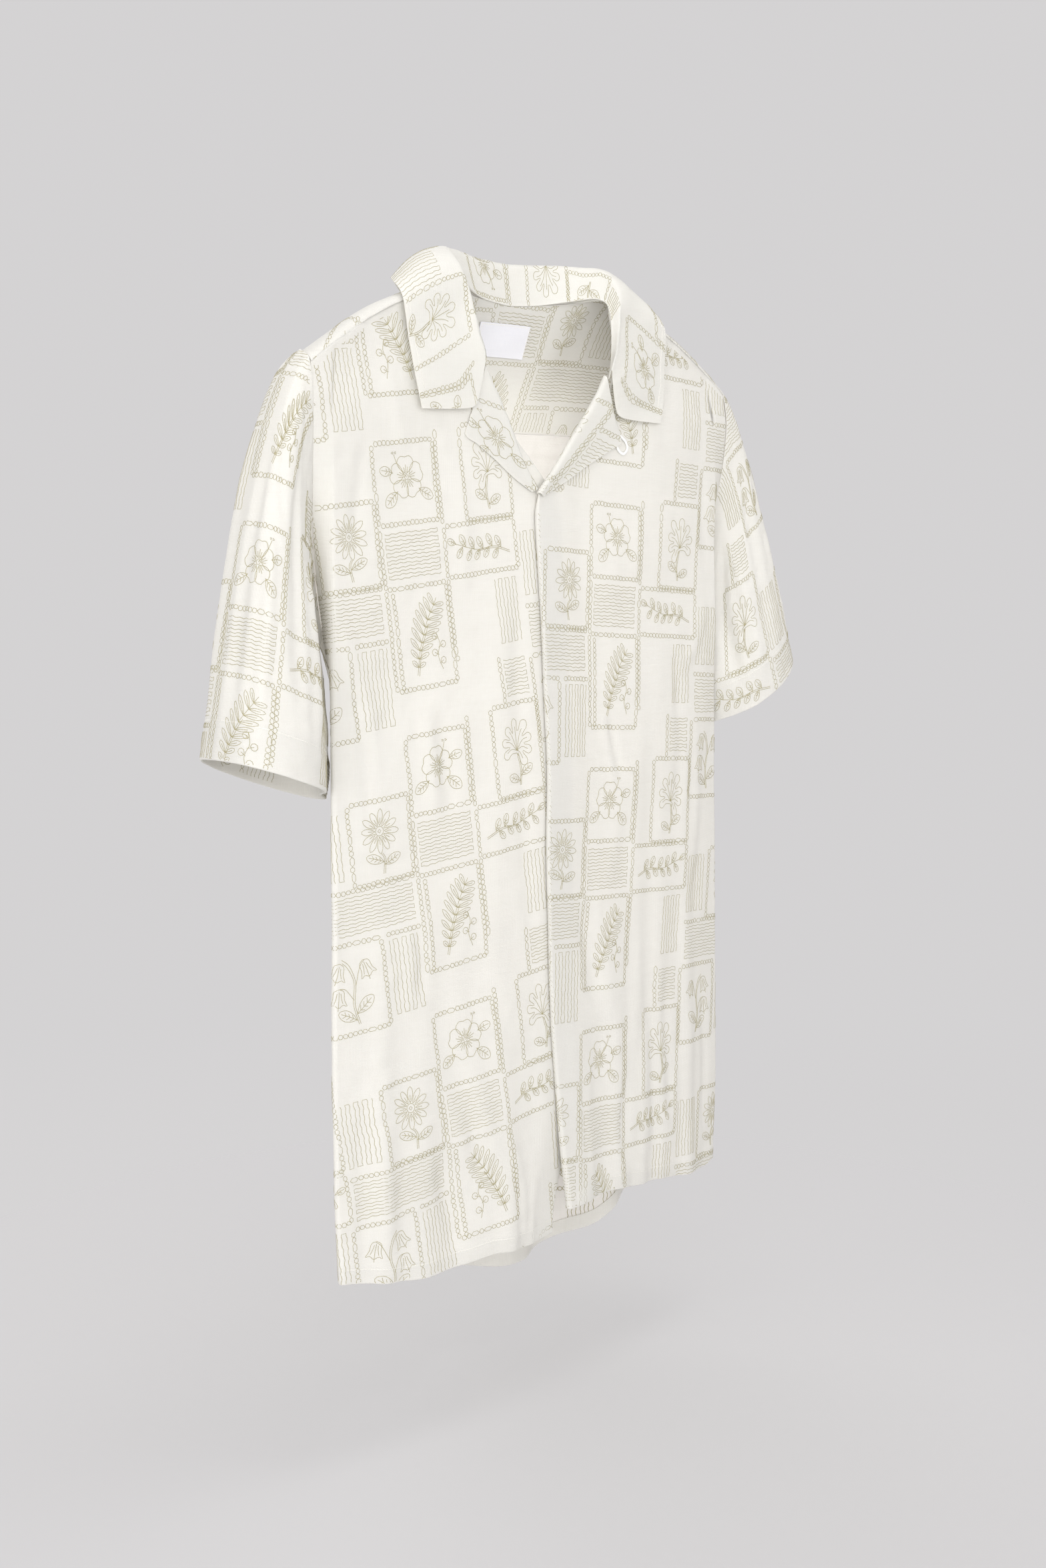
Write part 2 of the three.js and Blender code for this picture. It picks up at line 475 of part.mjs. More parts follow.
// label, loop and buttons
add('label', wall(label(), LABEL_T), WHITE, 0.7);
add('button_loop', loop(), WHITE, 0.6);
for (let i = 0; i < BUTTONS; i++) {
  const z = BUTTON_TOP - BUTTON_STEP * i, mesh = add(`button_${i + 1}`, button(), SHELL, 0.3);
  const tilt = Math.atan2(frontY(0, z + 5) - frontY(0, z - 5), 10);
  mesh.rotation.x = Math.PI - tilt;
  mesh.position.set(0, frontY(0, z) - CLOTH / 2 - GAP - BUTTON_T / 2 - 0.15, z);
}

export default group;
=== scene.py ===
# Short-sleeved camp-collar shirt with raised embroidery, filled out as on a general figure.
# The form repeats the named sizes and tables of the solids, in millimetres, and is made in metres.
import json
import math
import bpy
import numpy as np
from mathutils import Matrix, Vector

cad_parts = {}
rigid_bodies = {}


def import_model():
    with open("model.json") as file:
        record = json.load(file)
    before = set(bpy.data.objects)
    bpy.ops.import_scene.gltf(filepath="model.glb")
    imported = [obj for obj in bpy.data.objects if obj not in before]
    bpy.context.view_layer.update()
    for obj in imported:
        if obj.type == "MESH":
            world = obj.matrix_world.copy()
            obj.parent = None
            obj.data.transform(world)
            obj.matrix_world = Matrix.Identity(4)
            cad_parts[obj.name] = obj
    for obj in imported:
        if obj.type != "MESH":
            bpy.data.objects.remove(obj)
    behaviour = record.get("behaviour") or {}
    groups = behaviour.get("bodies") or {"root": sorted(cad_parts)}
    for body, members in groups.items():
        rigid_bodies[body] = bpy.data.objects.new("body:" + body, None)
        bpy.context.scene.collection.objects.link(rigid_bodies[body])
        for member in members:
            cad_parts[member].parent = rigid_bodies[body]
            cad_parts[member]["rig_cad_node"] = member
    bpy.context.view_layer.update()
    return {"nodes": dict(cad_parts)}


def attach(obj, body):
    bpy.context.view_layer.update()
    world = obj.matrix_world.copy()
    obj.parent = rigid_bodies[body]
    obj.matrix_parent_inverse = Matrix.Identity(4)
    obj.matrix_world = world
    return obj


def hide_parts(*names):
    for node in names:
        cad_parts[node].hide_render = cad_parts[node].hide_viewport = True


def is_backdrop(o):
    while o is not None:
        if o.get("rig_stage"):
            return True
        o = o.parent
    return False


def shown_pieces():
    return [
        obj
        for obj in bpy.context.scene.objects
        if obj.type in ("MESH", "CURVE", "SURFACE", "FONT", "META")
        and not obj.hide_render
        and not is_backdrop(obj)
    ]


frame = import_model()
MM = 0.001
root = "root"

# ---------- named sizes, as in the solids ----------
GAP = 0.3
LAP, LAP_LIFT, LAP_FADE = 10, 4.2, 34
BREAK_Z, YOKE_Z, SEAM_Y = -152, -100, 5
LAPEL_LIFT, COLLAR_LIFT, SLEEVE_OFF = 2.4, 4.6, 0.9
FRONT_ROWS_TOP, FRONT_ROWS, BACK_COLS = 6, 21, 30
LABEL_H = 25
# sizes of the cloth itself
CLOTH = 0.5                   # one layer of cloth
FOLD_R = 1.9                 # roll of the left front's folded edge
HEM_R = 0.55                  # fold of a hem
FACING_DEEP, HEM_DEEP, CUFF_DEEP = 25, 12, 29
THREAD_W, THREAD_H = 0.215, 0.22   # half width and height of a laid thread
STEP = 3.2                    # spacing of the cloth grids


def table(names, rows):
    return {k: np.array([r[i] for r in rows], float) for i, k in enumerate(names.split())}


MID = table('z y', [
    [20, 0], [-60, -2], [-110, -2], [-150, -2], [-200, -4], [-255, -7], [-315, -12],
    [-375, -15], [-490, -16], [-565, -19], [-655, -23], [-735, -27], [-810, -29]])
SIDE = table('z crestX crestY turnX turnY seamX seamY', [
    [-40, 196, 5, 209, 5, 221, 5],
    [-62, 200, 4, 211, 4, 222, 5],
    [-90, 205, 1, 214, 1, 223, 2],
    [-120, 207, 0, 213.5, 1.5, 222, 4],
    [-150, 207, 0, 212.5, 4, 219, 8.5],
    [-185, 207.5, 0, 211.5, 6, 214, 15],
    [-220, 208, -0.5, 210.5, 6.5, 207.5, 19.5],
    [-255, 208, -1, 209.5, 6, 199, 22],
    [-300, 208, -1, 208.2, 5.5, 190.5, 16],
    [-350, 208.7, -1.2, 208.9, 5, 189, 15.5],
    [-420, 209.8, -1.7, 210, 4.6, 191, 15],
    [-500, 211.5, -2.2, 211.7, 4.2, 194, 15],
    [-565, 213, -2.6, 213.2, 3.6, 196, 14.5],
    [-655, 213.6, -4, 213.8, 2.4, 196, 13.5],
    [-728, 210.5, -4.5, 210.7, 1.8, 193, 12.5],
    [-810, 209, -5, 209.2, 1.4, 192, 12]])
BACK = table('z seamX seamY midY power', [
    [-95, 218.6, 56, 80, 2.4],
    [-115, 216.5, 60, 88, 2.4],
    [-150, 211, 62.5, 101, 2.2],
    [-190, 205.5, 56, 111, 2.0],
    [-228, 201, 42, 116, 1.8],
    [-255, 198.6, 24, 118, 1.65],
    [-300, 190.1, 17, 118, 1.55],
    [-350, 188.6, 16.5, 116, 1.55],
    [-420, 190.6, 16, 111, 1.6],
    [-500, 193.6, 16, 104, 1.68],
    [-565, 195.6, 15.5, 98, 1.7],
    [-655, 195.6, 14.5, 90, 1.7],
    [-728, 192.6, 13.5, 84, 1.7],
    [-810, 191.6, 13, 80, 1.7]])
SHOULDER = table('x ridgeZ seamZ', [
    [70, 12, 6], [78, 10, 4], [100, 4.5, -1], [127, -5, -10], [160, -18.5, -24],
    [201, -42.5, -48], [223, -57.5, -63], [240, -69, -74]])
NECK = table('k x y z', [
    [0, 0, 40, -4], [0.35, 32, 36.5, -2], [0.65, 57, 26.5, 1], [0.85, 71, 15.5, 3.5], [1, 78, 5, 4]])
NECK_FRONT = table('k x z', [
    [0, 78, 4], [0.2, 79.5, -26], [0.42, 77, -62], [0.6, 55, -88], [0.8, 29, -119], [1, 0, BREAK_Z]])
HEM_RIGHT = table('x z', [
    [-12, -741], [10, -742], [31, -741], [57, -738], [79, -736], [109, -738], [137, -739], [173, -735],
    [211, -729], [230, -728]])
HEM_LEFT = table('x z', [
    [-12, -713], [23, -714], [54, -717], [93, -723], [125, -727], [169, -733], [195, -735], [211, -732],
    [230, -731]])
HEM_BACK = table('x z', [
    [-215, -729], [-165, -750], [-120, -771], [-70, -786], [-12, -797], [29, -802], [60, -803], [97, -799],
    [125, -789], [150, -773], [180, -752], [215, -734]])
FLUTE = table('at half deep top', [
    [-132, 44, 6, -300], [-78, 40, -8, -400], [-20, 42, 8, -330], [34, 38, -9, -380],
    [84, 38, 12, -300], [128, 32, -9, -430], [162, 26, 6, -340]])
FRONT_FOLD = table('at half deep top bottom', [
    [-176, 15, -2.6, -260, -742], [-120, 22, 2.6, -330, -742], [-62, 18, -3.0, -420, -742],
    [62, 20, -2.6, -380, -742], [112, 17, 3.4, -300, -742], [165, 16, -3.6, -240, -742]])
ARM = table('turn x y z', [
    [0, 221, 18, -55.5], [25, 222.6, 6, -62.5], [55, 223.6, 1.4, -90], [80, 222.6, 3.2, -118],
    [105, 219.6, 7.8, -149], [130, 214.8, 14.8, -184], [155, 208.4, 20, -219], [180, 200.4, 24.5, -255],
    [205, 202.4, 42.5, -228], [230, 206.6, 56.5, -190], [255, 211.8, 62.8, -150], [280, 217, 60, -115],
    [305, 220, 51, -85], [335, 221, 35, -63], [360, 221, 18, -55.5]])
CUFF = table('turn x y', [
    [0, 299, 19], [25, 297, -3], [55, 283, -20], [80, 260, -26], [105, 238, -20], [130, 223, -6],
    [155, 207, 19], [180, 187, 41], [205, 184, 60], [230, 199, 77], [255, 223, 83], [280, 250, 79],
    [305, 274, 66], [335, 292, 44], [360, 299, 19]])
HANG = {-1: (-354, 0.36, 0, 0, 1.0), 1: (-324, 0.66, 4, -6, 0.98)}
COLLAR = table('k nx ny nz fx fy fz ex ey ez', [
    [0, 0, 38.6, -3, 0, 43, 28, 0, 60, -25],
    [0.16, 27, 36, -0.8, 29, 40.5, 29, 40, 60, -22],
    [0.34, 54.5, 25, 3.6, 60, 32.5, 31, 88, 50, -12],
    [0.48, 70, 13, 6, 80, 21, 29.5, 124, 33, 3.5],
    [0.60, 76.5, 4.5, 2, 85, 4, 18, 139, 10, -4.5],
    [0.66, 77, 1, -6, 84, -2, 8, 140.5, -0.5, -18],
    [0.74, 76.5, -1.5, -18, 81, -7, -8, 139, -3, -38],
    [0.88, 74.5, -3.5, -40, 75, -10, -33, 136, -6, -66],
    [1, 70, -4, -58, 68, -10, -50, 130, -7, -92]])
LEAF_END = table('k x z', [[0, 68, -50], [0.5, 76, -84], [0.56, 79, -88.5], [0.75, 101, -91], [1, 130, -92]])
LAPEL = table('k rollX rollZ edgeX edgeZ', [
    [0, -2, -151, 2, -153], [0.25, 16, -130, 24, -142], [0.5, 33, -106, 50, -127],
    [0.75, 50, -83, 72, -115.5], [0.88, 58.5, -71, 85, -108], [1, 66, -59, 78, -91.5]])


# ---------- helpers ----------
def look(T, key, col, at):
    x, y = T[key], T[col]
    if x[-1] < x[0]:
        x, y = x[::-1], y[::-1]
    at = np.clip(np.asarray(at, float), x[0], x[-1])
    h = np.diff(x); d = np.diff(y) / h
    m = np.empty_like(y); m[0], m[-1] = d[0], d[-1]
    a, b = d[:-1], d[1:]
    m[1:-1] = np.where(a * b <= 0, 0.0, 2 * a * b / np.where(np.abs(a + b) < 1e-12, 1, a + b))
    i = np.clip(np.searchsorted(x, at, side='right') - 1, 0, len(x) - 2)
    t = (at - x[i]) / h[i]; t2 = t * t; t3 = t2 * t
    return ((2 * t3 - 3 * t2 + 1) * y[i] + (t3 - 2 * t2 + t) * m[i] * h[i]
            + (3 * t2 - 2 * t3) * y[i + 1] + (t3 - t2) * m[i + 1] * h[i])


def mix(a, b, t): return a + (b - a) * t


def smooth(a, b, v):
    t = np.clip((np.asarray(v, float) - a) / (b - a), 0, 1)
    return t * t * (3 - 2 * t)


def bump(d, half): return np.where(np.abs(d) >= half, 0.0, np.cos(np.pi * d / half / 2) ** 2)


def bezier(a, b, c, d, t):
    s = 1 - t
    return a * s ** 3 + 3 * b * s * s * t + 3 * c * s * t * t + d * t ** 3


def unit(v): return v / np.maximum(np.linalg.norm(v, axis=-1, keepdims=True), 1e-9)


def arc(p):
    return np.concatenate([[0], np.cumsum(np.linalg.norm(np.diff(p, axis=0), axis=1))])


def at_run(p, s):
    r = arc(p)
    return np.stack([np.interp(s, r, p[:, i]) for i in range(p.shape[1])], -1)


def steps(a, b, step, edge=0.5):
    """positions from a to b about a step apart, with a narrow first and last one"""
    n = max(2, int(round(abs(b - a) / step)))
    e = edge * (1 if b > a else -1)
    return np.concatenate([[a], np.linspace(a + e, b - e, n), [b]])


def hash01(i, k=0):
    v = math.sin(i * 12.9898 + k * 78.233) * 43758.5453
    return v - math.floor(v)


def wobble(a, b, seed, size, reach):
    """soft uneven swell over two coordinates, in millimetres"""
    out = np.zeros(np.broadcast(a, b).shape)
    for k in range(7):
        ang = math.pi * hash01(seed, k); f = 2 * math.pi / (reach * (0.6 + 1.1 * hash01(seed, k + 20)))
        out += np.sin(f * (a * math.cos(ang) + b * math.sin(ang)) + 6.3 * hash01(seed, k + 40)) * (0.5 + hash01(seed, k + 60))
    return out * size / 3.0


def crumple(a, b, seed, size=0.2):
    """small uneven ripples of a washed cotton, in patches"""
    patch = smooth(-0.3, 0.8, wobble(a, b, seed + 3, 1.0, 95) / 1.2)
    return (wobble(a, b * .7, seed, size * 1.4, 22) + wobble(a * .8, b, seed + 1, size, 13)) * (0.35 + 0.65 * patch)


def stroke(a, b, path, half, deep, taper=0.3, shape=1.0):
    """a soft trough or ridge along a polyline; half is its half width, falling off at both ends"""
    path = np.array(path, float); run = arc(path); total = run[-1]
    best = np.full(np.shape(a), 1e9); where = np.zeros(np.shape(a))
    for i in range(len(path) - 1):
        p, q = path[i], path[i + 1]; d = q - p; L2 = max(d @ d, 1e-9)
        t = np.clip(((a - p[0]) * d[0] + (b - p[1]) * d[1]) / L2, 0, 1)
        dist = np.hypot(a - p[0] - t * d[0], b - p[1] - t * d[1])
        near = dist < best
        best = np.where(near, dist, best); where = np.where(near, run[i] + t * math.sqrt(L2), where)
    w = where / total
    fade = smooth(0, taper, w) * smooth(0, taper, 1 - w)
    h = half * (0.55 + 0.45 * fade)
    return deep * fade * np.where(best < h, np.cos(np.pi * np.minimum(best / h, 1) / 2) ** (2 * shape), 0.0)


# ---------- the form, as in the solids ----------
def front_folds(x, z):
    y = 0
    for i in range(len(FRONT_FOLD['at'])):
        y = y + FRONT_FOLD['deep'][i] * bump(x - FRONT_FOLD['at'][i], FRONT_FOLD['half'][i]) * smooth(FRONT_FOLD['top'][i], FRONT_FOLD['bottom'][i], z)
    return y


def front_y(x, z):
    ax = np.abs(x)
    cx, cy, my = look(SIDE, 'z', 'crestX', z), look(SIDE, 'z', 'crestY', z), look(MID, 'z', 'y', z)
    y = mix(my, cy, np.minimum(1, ax / cx) ** 2.4)
    below = look(SHOULDER, 'x', 'seamZ', ax) - z
    y = np.where(ax > 60, mix(SEAM_Y, y, smooth(-2, 55, below)), y)
    return y + front_folds(x, z)


def hem_z(side, x):
    return look(HEM_RIGHT, 'x', 'z', -x) if side < 0 else look(HEM_LEFT, 'x', 'z', x)


def front_row(side, j, us, ts):
    top = j <= FRONT_ROWS_TOP
    k = j / FRONT_ROWS_TOP
    down = (j - FRONT_ROWS_TOP) / (FRONT_ROWS - FRONT_ROWS_TOP)
    edge = LAP if side < 0 else -LAP
    inner = (side * look(NECK_FRONT, 'k', 'x', k) + edge * smooth(0.5, 1, k), look(NECK_FRONT, 'k', 'z', k)) if top else (edge, 0)

    def row_z(x, u):
        if not top:
            return mix(BREAK_Z - 3 * u, hem_z(side, x), down)
        outer = mix(-62.5, BREAK_Z - 3, k)
        flat, flat0 = mix(inner[1], outer, u), mix(4, -62.5, u)
        return flat + (1 - k) ** 1.5 * (look(SHOULDER, 'x', 'seamZ', np.abs(x)) - flat0)

    zc = mix(-57, BREAK_Z - 3, k) if top else mix(BREAK_Z - 3, hem_z(side, side * 205), down)
    x = mix(inner[0], side * look(SIDE, 'z', 'crestX', zc), us); z = row_z(x, us * 0.92)
    lift = LAP_LIFT * (1 - smooth(LAP, LAP + LAP_FADE, x)) * smooth(-110, -150, z) if side > 0 else 0
    A = np.stack([x, front_y(x, z) - lift, z + 0 * x], -1)
    t = ts
    if top:
        z = row_z(side * mix(mix(198, 207, k), mix(223, 219, k), t), mix(0.92, 1, t))
    else:
        z = mix(BREAK_Z - 3, hem_z(side, side * 211), down) + 0 * t
    g = lambda c: look(SIDE, 'z', c, z)
    fold = front_folds(side * g('crestX'), z) * (1 - t)
    q = lambda a, b, c: a * (1 - t) ** 2 + 2 * (2 * b - (a + c) / 2) * t * (1 - t) + c * t * t
    B = np.stack([side * q(g('crestX'), g('turnX'), g('seamX')), q(g('crestY'), g('turnY'), g('seamY')) + fold, z], -1)
    return np.concatenate([A, B])


def front(side):
    us = steps(0, 1, STEP / 200, 0.5 / 200)
    ts = np.linspace(0, 1, 9)[1:]; ts = np.concatenate([ts[:-1], [0.975, 1]])
    js = np.concatenate([steps(0, 6, STEP / 25, 0.03)[:-1], steps(6, 21, STEP * 15 / 590, 0.02)])
    G = np.array([front_row(side, j, us, ts) for j in js])
    G[0, :, 2] -= 1.0
    return G


def back_row(v, cols):
    a = np.linspace(0, math.pi / 2, 121)
    half = []
    for side in (-1, 1):
        z0 = mix(YOKE_Z, look(HEM_BACK, 'x', 'z', side * 200 * np.cos(a)), v)
        e = 2 / look(BACK, 'z', 'power', z0)
        c, s = np.maximum(np.cos(a), 0), np.sin(a)
        half.append(np.stack([side * look(BACK, 'z', 'seamX', z0) * c ** e,
                              mix(look(BACK, 'z', 'seamY', z0), look(BACK, 'z', 'midY', z0), s ** e), z0], -1))
    line = np.concatenate([half[0], half[1][::-1][1:]])
    p = at_run(line, arc(line)[-1] * cols)
    d = 0
    for i in range(len(FLUTE['at'])):
        d = d + FLUTE['deep'][i] * bump(p[:, 0] - FLUTE['at'][i], FLUTE['half'][i]) * smooth(FLUTE['top'][i], -790, p[:, 2])
    p[:, 1] += d
    return p


def back():
    cols = steps(0, 1, STEP / 490, 0.5 / 490)
    return np.array([back_row(v, cols) for v in steps(0, 1, STEP / 690, 0.5 / 690)])


def yoke_column(c, ts):
    side, a, SPLIT = (-1 if c < 0 else 1), abs(c), 0.36
    foot = back_row(0, np.array([(c + 1) / 2]))[0]; foot[2] += GAP
    if a <= SPLIT:
        k = a / SPLIT; n = lambda s: float(look(NECK, 'k', s, k))
        head = np.array([side * n('x'), n('y'), n('z')])
        p1 = np.array([side * (n('x') + mix(1, 0, k)), n('y') + mix(3, 9, k), n('z') + mix(-18, 12, k)])
        p2 = np.array([mix(foot[0], head[0], 0.4), mix(57, 52, k), mix(-62, -14, k * k)])
    else:
        k = (a - SPLIT) / (1 - SPLIT); x = mix(78, 222, k)
        ridge = float(look(SHOULDER, 'x', 'ridgeZ', x))
        head = np.array([side * x, SEAM_Y + GAP, float(look(SHOULDER, 'x', 'seamZ', x)) + GAP])
        p1 = np.array([side * x, mix(14, 12, k), ridge + mix(8, 6, k)])
        p2 = np.array([mix(foot[0], head[0], 0.4), mix(52, 44, k), ridge + mix(-24, -2, k)])
    return bezier(head, p1, p2, foot, ts[:, None])


def yoke():
    ts = np.concatenate([[-0.045], steps(0, 1, 0.045, 0.006)])
    cs = steps(-1, 1, 2 / 150, 0.004)
    cols = np.array([yoke_column(c, ts) for c in cs])
    # the neck and shoulder parts meet in a soft line
    for _ in range(3):
        cols[1:-1] = cols[1:-1] * 0.5 + (cols[:-2] + cols[2:]) * 0.25
    return cols.transpose(1, 0, 2)


def sleeve(side, rows, turns):
    hemZ, perX, sx, sy, wide = HANG[side]
    t, turn = rows[:, None], turns[None, :]
    A = lambda c: look(ARM, 'turn', c, turn); C = lambda c: look(CUFF, 'turn', c, turn)
    hx, hy = 245 + (C('x') - 245) * wide + sx, 28 + (C('y') - 28) * wide + sy
    hz = hemZ + perX * (hx - 245)
    up = 0.5 + 0.5 * np.cos(np.radians(turn))
    P0 = (A('x') + SLEEVE_OFF, A('y'), A('z'))
    L = np.hypot(hx - P0[0], hz - P0[2])
    P1 = (P0[0] + mix(6, 33, up), mix(P0[1], hy, 0.15), P0[2] - mix(0.3 * L, 26 + 0 * L, up))
    P2 = (hx - perX * L * 0.12 - 4, mix(hy, P0[1], 0.3), hz + L * 0.36)
    p = [bezier(P0[i], P1[i], P2[i], (hx, hy, hz)[i], t) for i in range(3)]
    return np.stack([side * p[0], p[1], p[2]], -1)


def collar():
    cs = steps(-1, 1, 2 / 150, 0.004)
    out = []
    for c in cs:
        side, k = (-1 if c < 0 else 1), abs(c)
        g = lambda n: float(look(COLLAR, 'k', n, k))
        N, F, E = (np.array([g(p + q) for q in 'xyz']) for p in 'nfe')
        end, high = float(smooth(0.86, 1, k)), 1 - float(smooth(0.5, 0.8, k))
        st = np.linspace(0, 1, 16)[:-1, None]
        stand = mix(N, F, st)
        t = np.linspace(0, 1, 46); ar = 4 * t * (1 - t)
        p = mix(F, E, t[:, None])
        p[:, 2] += ar * 7 * high; p[:, 1] += ar * (3 if k < 0.4 else 0) * float(1 - smooth(0.3, 0.4, k))
        if end > 0:
            p[:, 0] = mix(p[:, 0], look(LEAF_END, 'k', 'x', t), end)
            p[:, 2] = mix(p[:, 2], look(LEAF_END, 'k', 'z', t), end)
        on = float(smooth(0.6, 0.78, k))
        if on > 0:
            flat = front_y(side * p[:, 0], p[:, 2]) - COLLAR_LIFT - 2.5 * (1 - t) ** 2
            p[:, 1] = mix(p[:, 1], flat, on * smooth(0, 0.2, t + 0.12))
        low = N + unit(N - F) * 2.6 + np.array([0, -0.7, 0])
        line = np.concatenate([low[None], stand, p])
        line[:, 0] *= side
        # the fold is a roll, not a crease
        fine = at_run(line, np.linspace(0, arc(line)[-1], 90))
        for _ in range(5):
            fine[1:-1] = fine[1:-1] * 0.4 + (fine[:-2] + fine[2:]) * 0.3
        s = arc(fine)[-1]
        out.append(at_run(fine, s * steps(0, 1, 1 / 34, 0.006)))
    G = np.array(out)
    for _ in range(2):
        G[1:-1] = G[1:-1] * 0.5 + (G[:-2] + G[2:]) * 0.25
    return G.transpose(1, 0, 2)


def lapel(side):
    shift = -LAP if side > 0 else -LAP - 4
    rows = steps(0, 1, 1 / 44, 0.008)
    out = []
    for k in rows:
        g = lambda n: float(look(LAPEL, 'k', n, k))
        low = 1 - float(smooth(0, 0.9, k))
        R = np.array([side * g('rollX') + shift * low, g('rollZ') + (3.5 * low if side < 0 else 0)])
        E = np.array([side * g('edgeX') + shift * low, g('edgeZ') + (3.5 * low if side < 0 else 0)])
        over = LAP_LIFT * low + 0.4 if side > 0 else 0
        d = E - R; w = float(np.linalg.norm(d)); d = d / max(w, 1e-6)
        roll = min(2.0, w * 0.33 + 0.5)
        n = 26
        t = np.linspace(0, 1, n)
        xz = R + d * (t * w)[:, None]
        lie = front_y(xz[:, 0], xz[:, 1]) - LAPEL_LIFT - over - 1.2 * (1 - t) ** 2 + 0.7 * smooth(0.4, 1, t)
        flat = np.stack([xz[:, 0], lie, xz[:, 1]], -1)
        # round the roll and back behind the front
        y0 = flat[0, 1]; ang = np.linspace(0, math.pi, 9)[1:]
        back_y = y0 + 2 * roll
        cir = np.stack([R[0] - d[0] * roll * np.sin(ang), y0 + roll * (1 - np.cos(ang)), R[1] - d[1] * roll * np.sin(ang)], -1)
        tail = np.stack([R[0] + d[0] * np.array([3.0, 6.0, 9.0]) * min(1, w / 9), np.full(3, back_y), R[1] + d[1] * np.array([3.0, 6.0, 9.0]) * min(1, w / 9)], -1)
        line = np.concatenate([tail[::-1], cir[::-1], flat])
        s = arc(line)[-1]
        out.append(at_run(line, s * steps(0, 1, 1 / 22, 0.01)))
    return np.array(out)


# ---------- cloth sheets ----------
def normals(G, closed=False):
    a = np.empty_like(G); a[1:-1] = G[2:] - G[:-2]; a[0] = G[1] - G[0]; a[-1] = G[-1] - G[-2]
    if closed:
        b = np.roll(G, -1, 1) - np.roll(G, 1, 1)
    else:
        b = np.empty_like(G); b[:, 1:-1] = G[:, 2:] - G[:, :-2]; b[:, 0] = G[:, 1] - G[:, 0]; b[:, -1] = G[:, -1] - G[:, -2]
    return unit(np.cross(a, b))


def fold_rows(G, N, r, deep, rest, n_in=7):
    """carries the last row round a fold of radius r and deep back under the cloth; rest is the end distance"""
    H, D = G[-1], unit(G[-1] - G[-2]); C = G.shape[1]
    r = np.broadcast_to(r, C)[:, None]; deep = np.broadcast_to(deep, C); rest = np.broadcast_to(rest, C)
    rows = []
    for a in np.linspace(0, math.pi, 7)[1:]:
        rows.append(H - N[-1] * r + N[-1] * r * math.cos(a) + D * r * math.sin(a))
    fr = np.concatenate([np.linspace(0, 1, n_in + 1)[1:-1], [0.97, 1]])
    inner = np.zeros((len(fr), C, 3))
    for i in range(C):
        line, nor = G[::-1, i], N[::-1, i]; run = arc(line); s = fr * deep[i]
        base = np.stack([np.interp(s, run, line[:, k]) for k in range(3)], -1)
        nn = unit(np.stack([np.interp(s, run, nor[:, k]) for k in range(3)], -1))
        off = mix(2 * r[i, 0], rest[i], smooth(0, 7, s))
        inner[:, i] = base - nn * off[:, None]
    return np.concatenate([G, np.array(rows), inner])


def new_mesh(name, verts, quads, mats, index=None, sharp=None, uv=None, smooth_faces=True):
    me = bpy.data.meshes.new(name)
    verts = np.asarray(verts, np.float32) * MM; quads = np.asarray(quads, np.int32)
    k = quads.shape[1]
    me.vertices.add(len(verts)); me.vertices.foreach_set("co", verts.ravel())
    me.loops.add(quads.size); me.loops.foreach_set("vertex_index", quads.ravel())
    me.polygons.add(len(quads))
    me.polygons.foreach_set("loop_start", np.arange(0, quads.size, k, dtype=np.int32))
    me.polygons.foreach_set("loop_total", np.full(len(quads), k, np.int32))
    if index is not None:
        me.polygons.foreach_set("material_index", np.asarray(index, np.int32))
    me.update(calc_edges=True)
    me.polygons.foreach_set("use_smooth", np.full(len(quads), smooth_faces, bool))
    if sharp is not None:
        e = np.zeros(len(me.edges) * 2, np.int32); me.edges.foreach_get("vertices", e); e = e.reshape(-1, 2)
        both = (sharp[e[:, 0]] == sharp[e[:, 1]]) & (sharp[e[:, 0]] > 0)
        att = me.attributes.get("sharp_edge") or me.attributes.new("sharp_edge", "BOOLEAN", "EDGE")
        att.data.foreach_set("value", both)
    if uv is not None:
        lay = me.uv_layers.new(name="run")
        lay.data.foreach_set("uv", np.asarray(uv, np.float32)[quads.ravel()].ravel())
    me.validate()
    ob = bpy.data.objects.new(name, me)
    bpy.context.scene.collection.objects.link(ob)
    for m in mats:
        me.materials.append(m)
    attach(ob, root)
    return ob


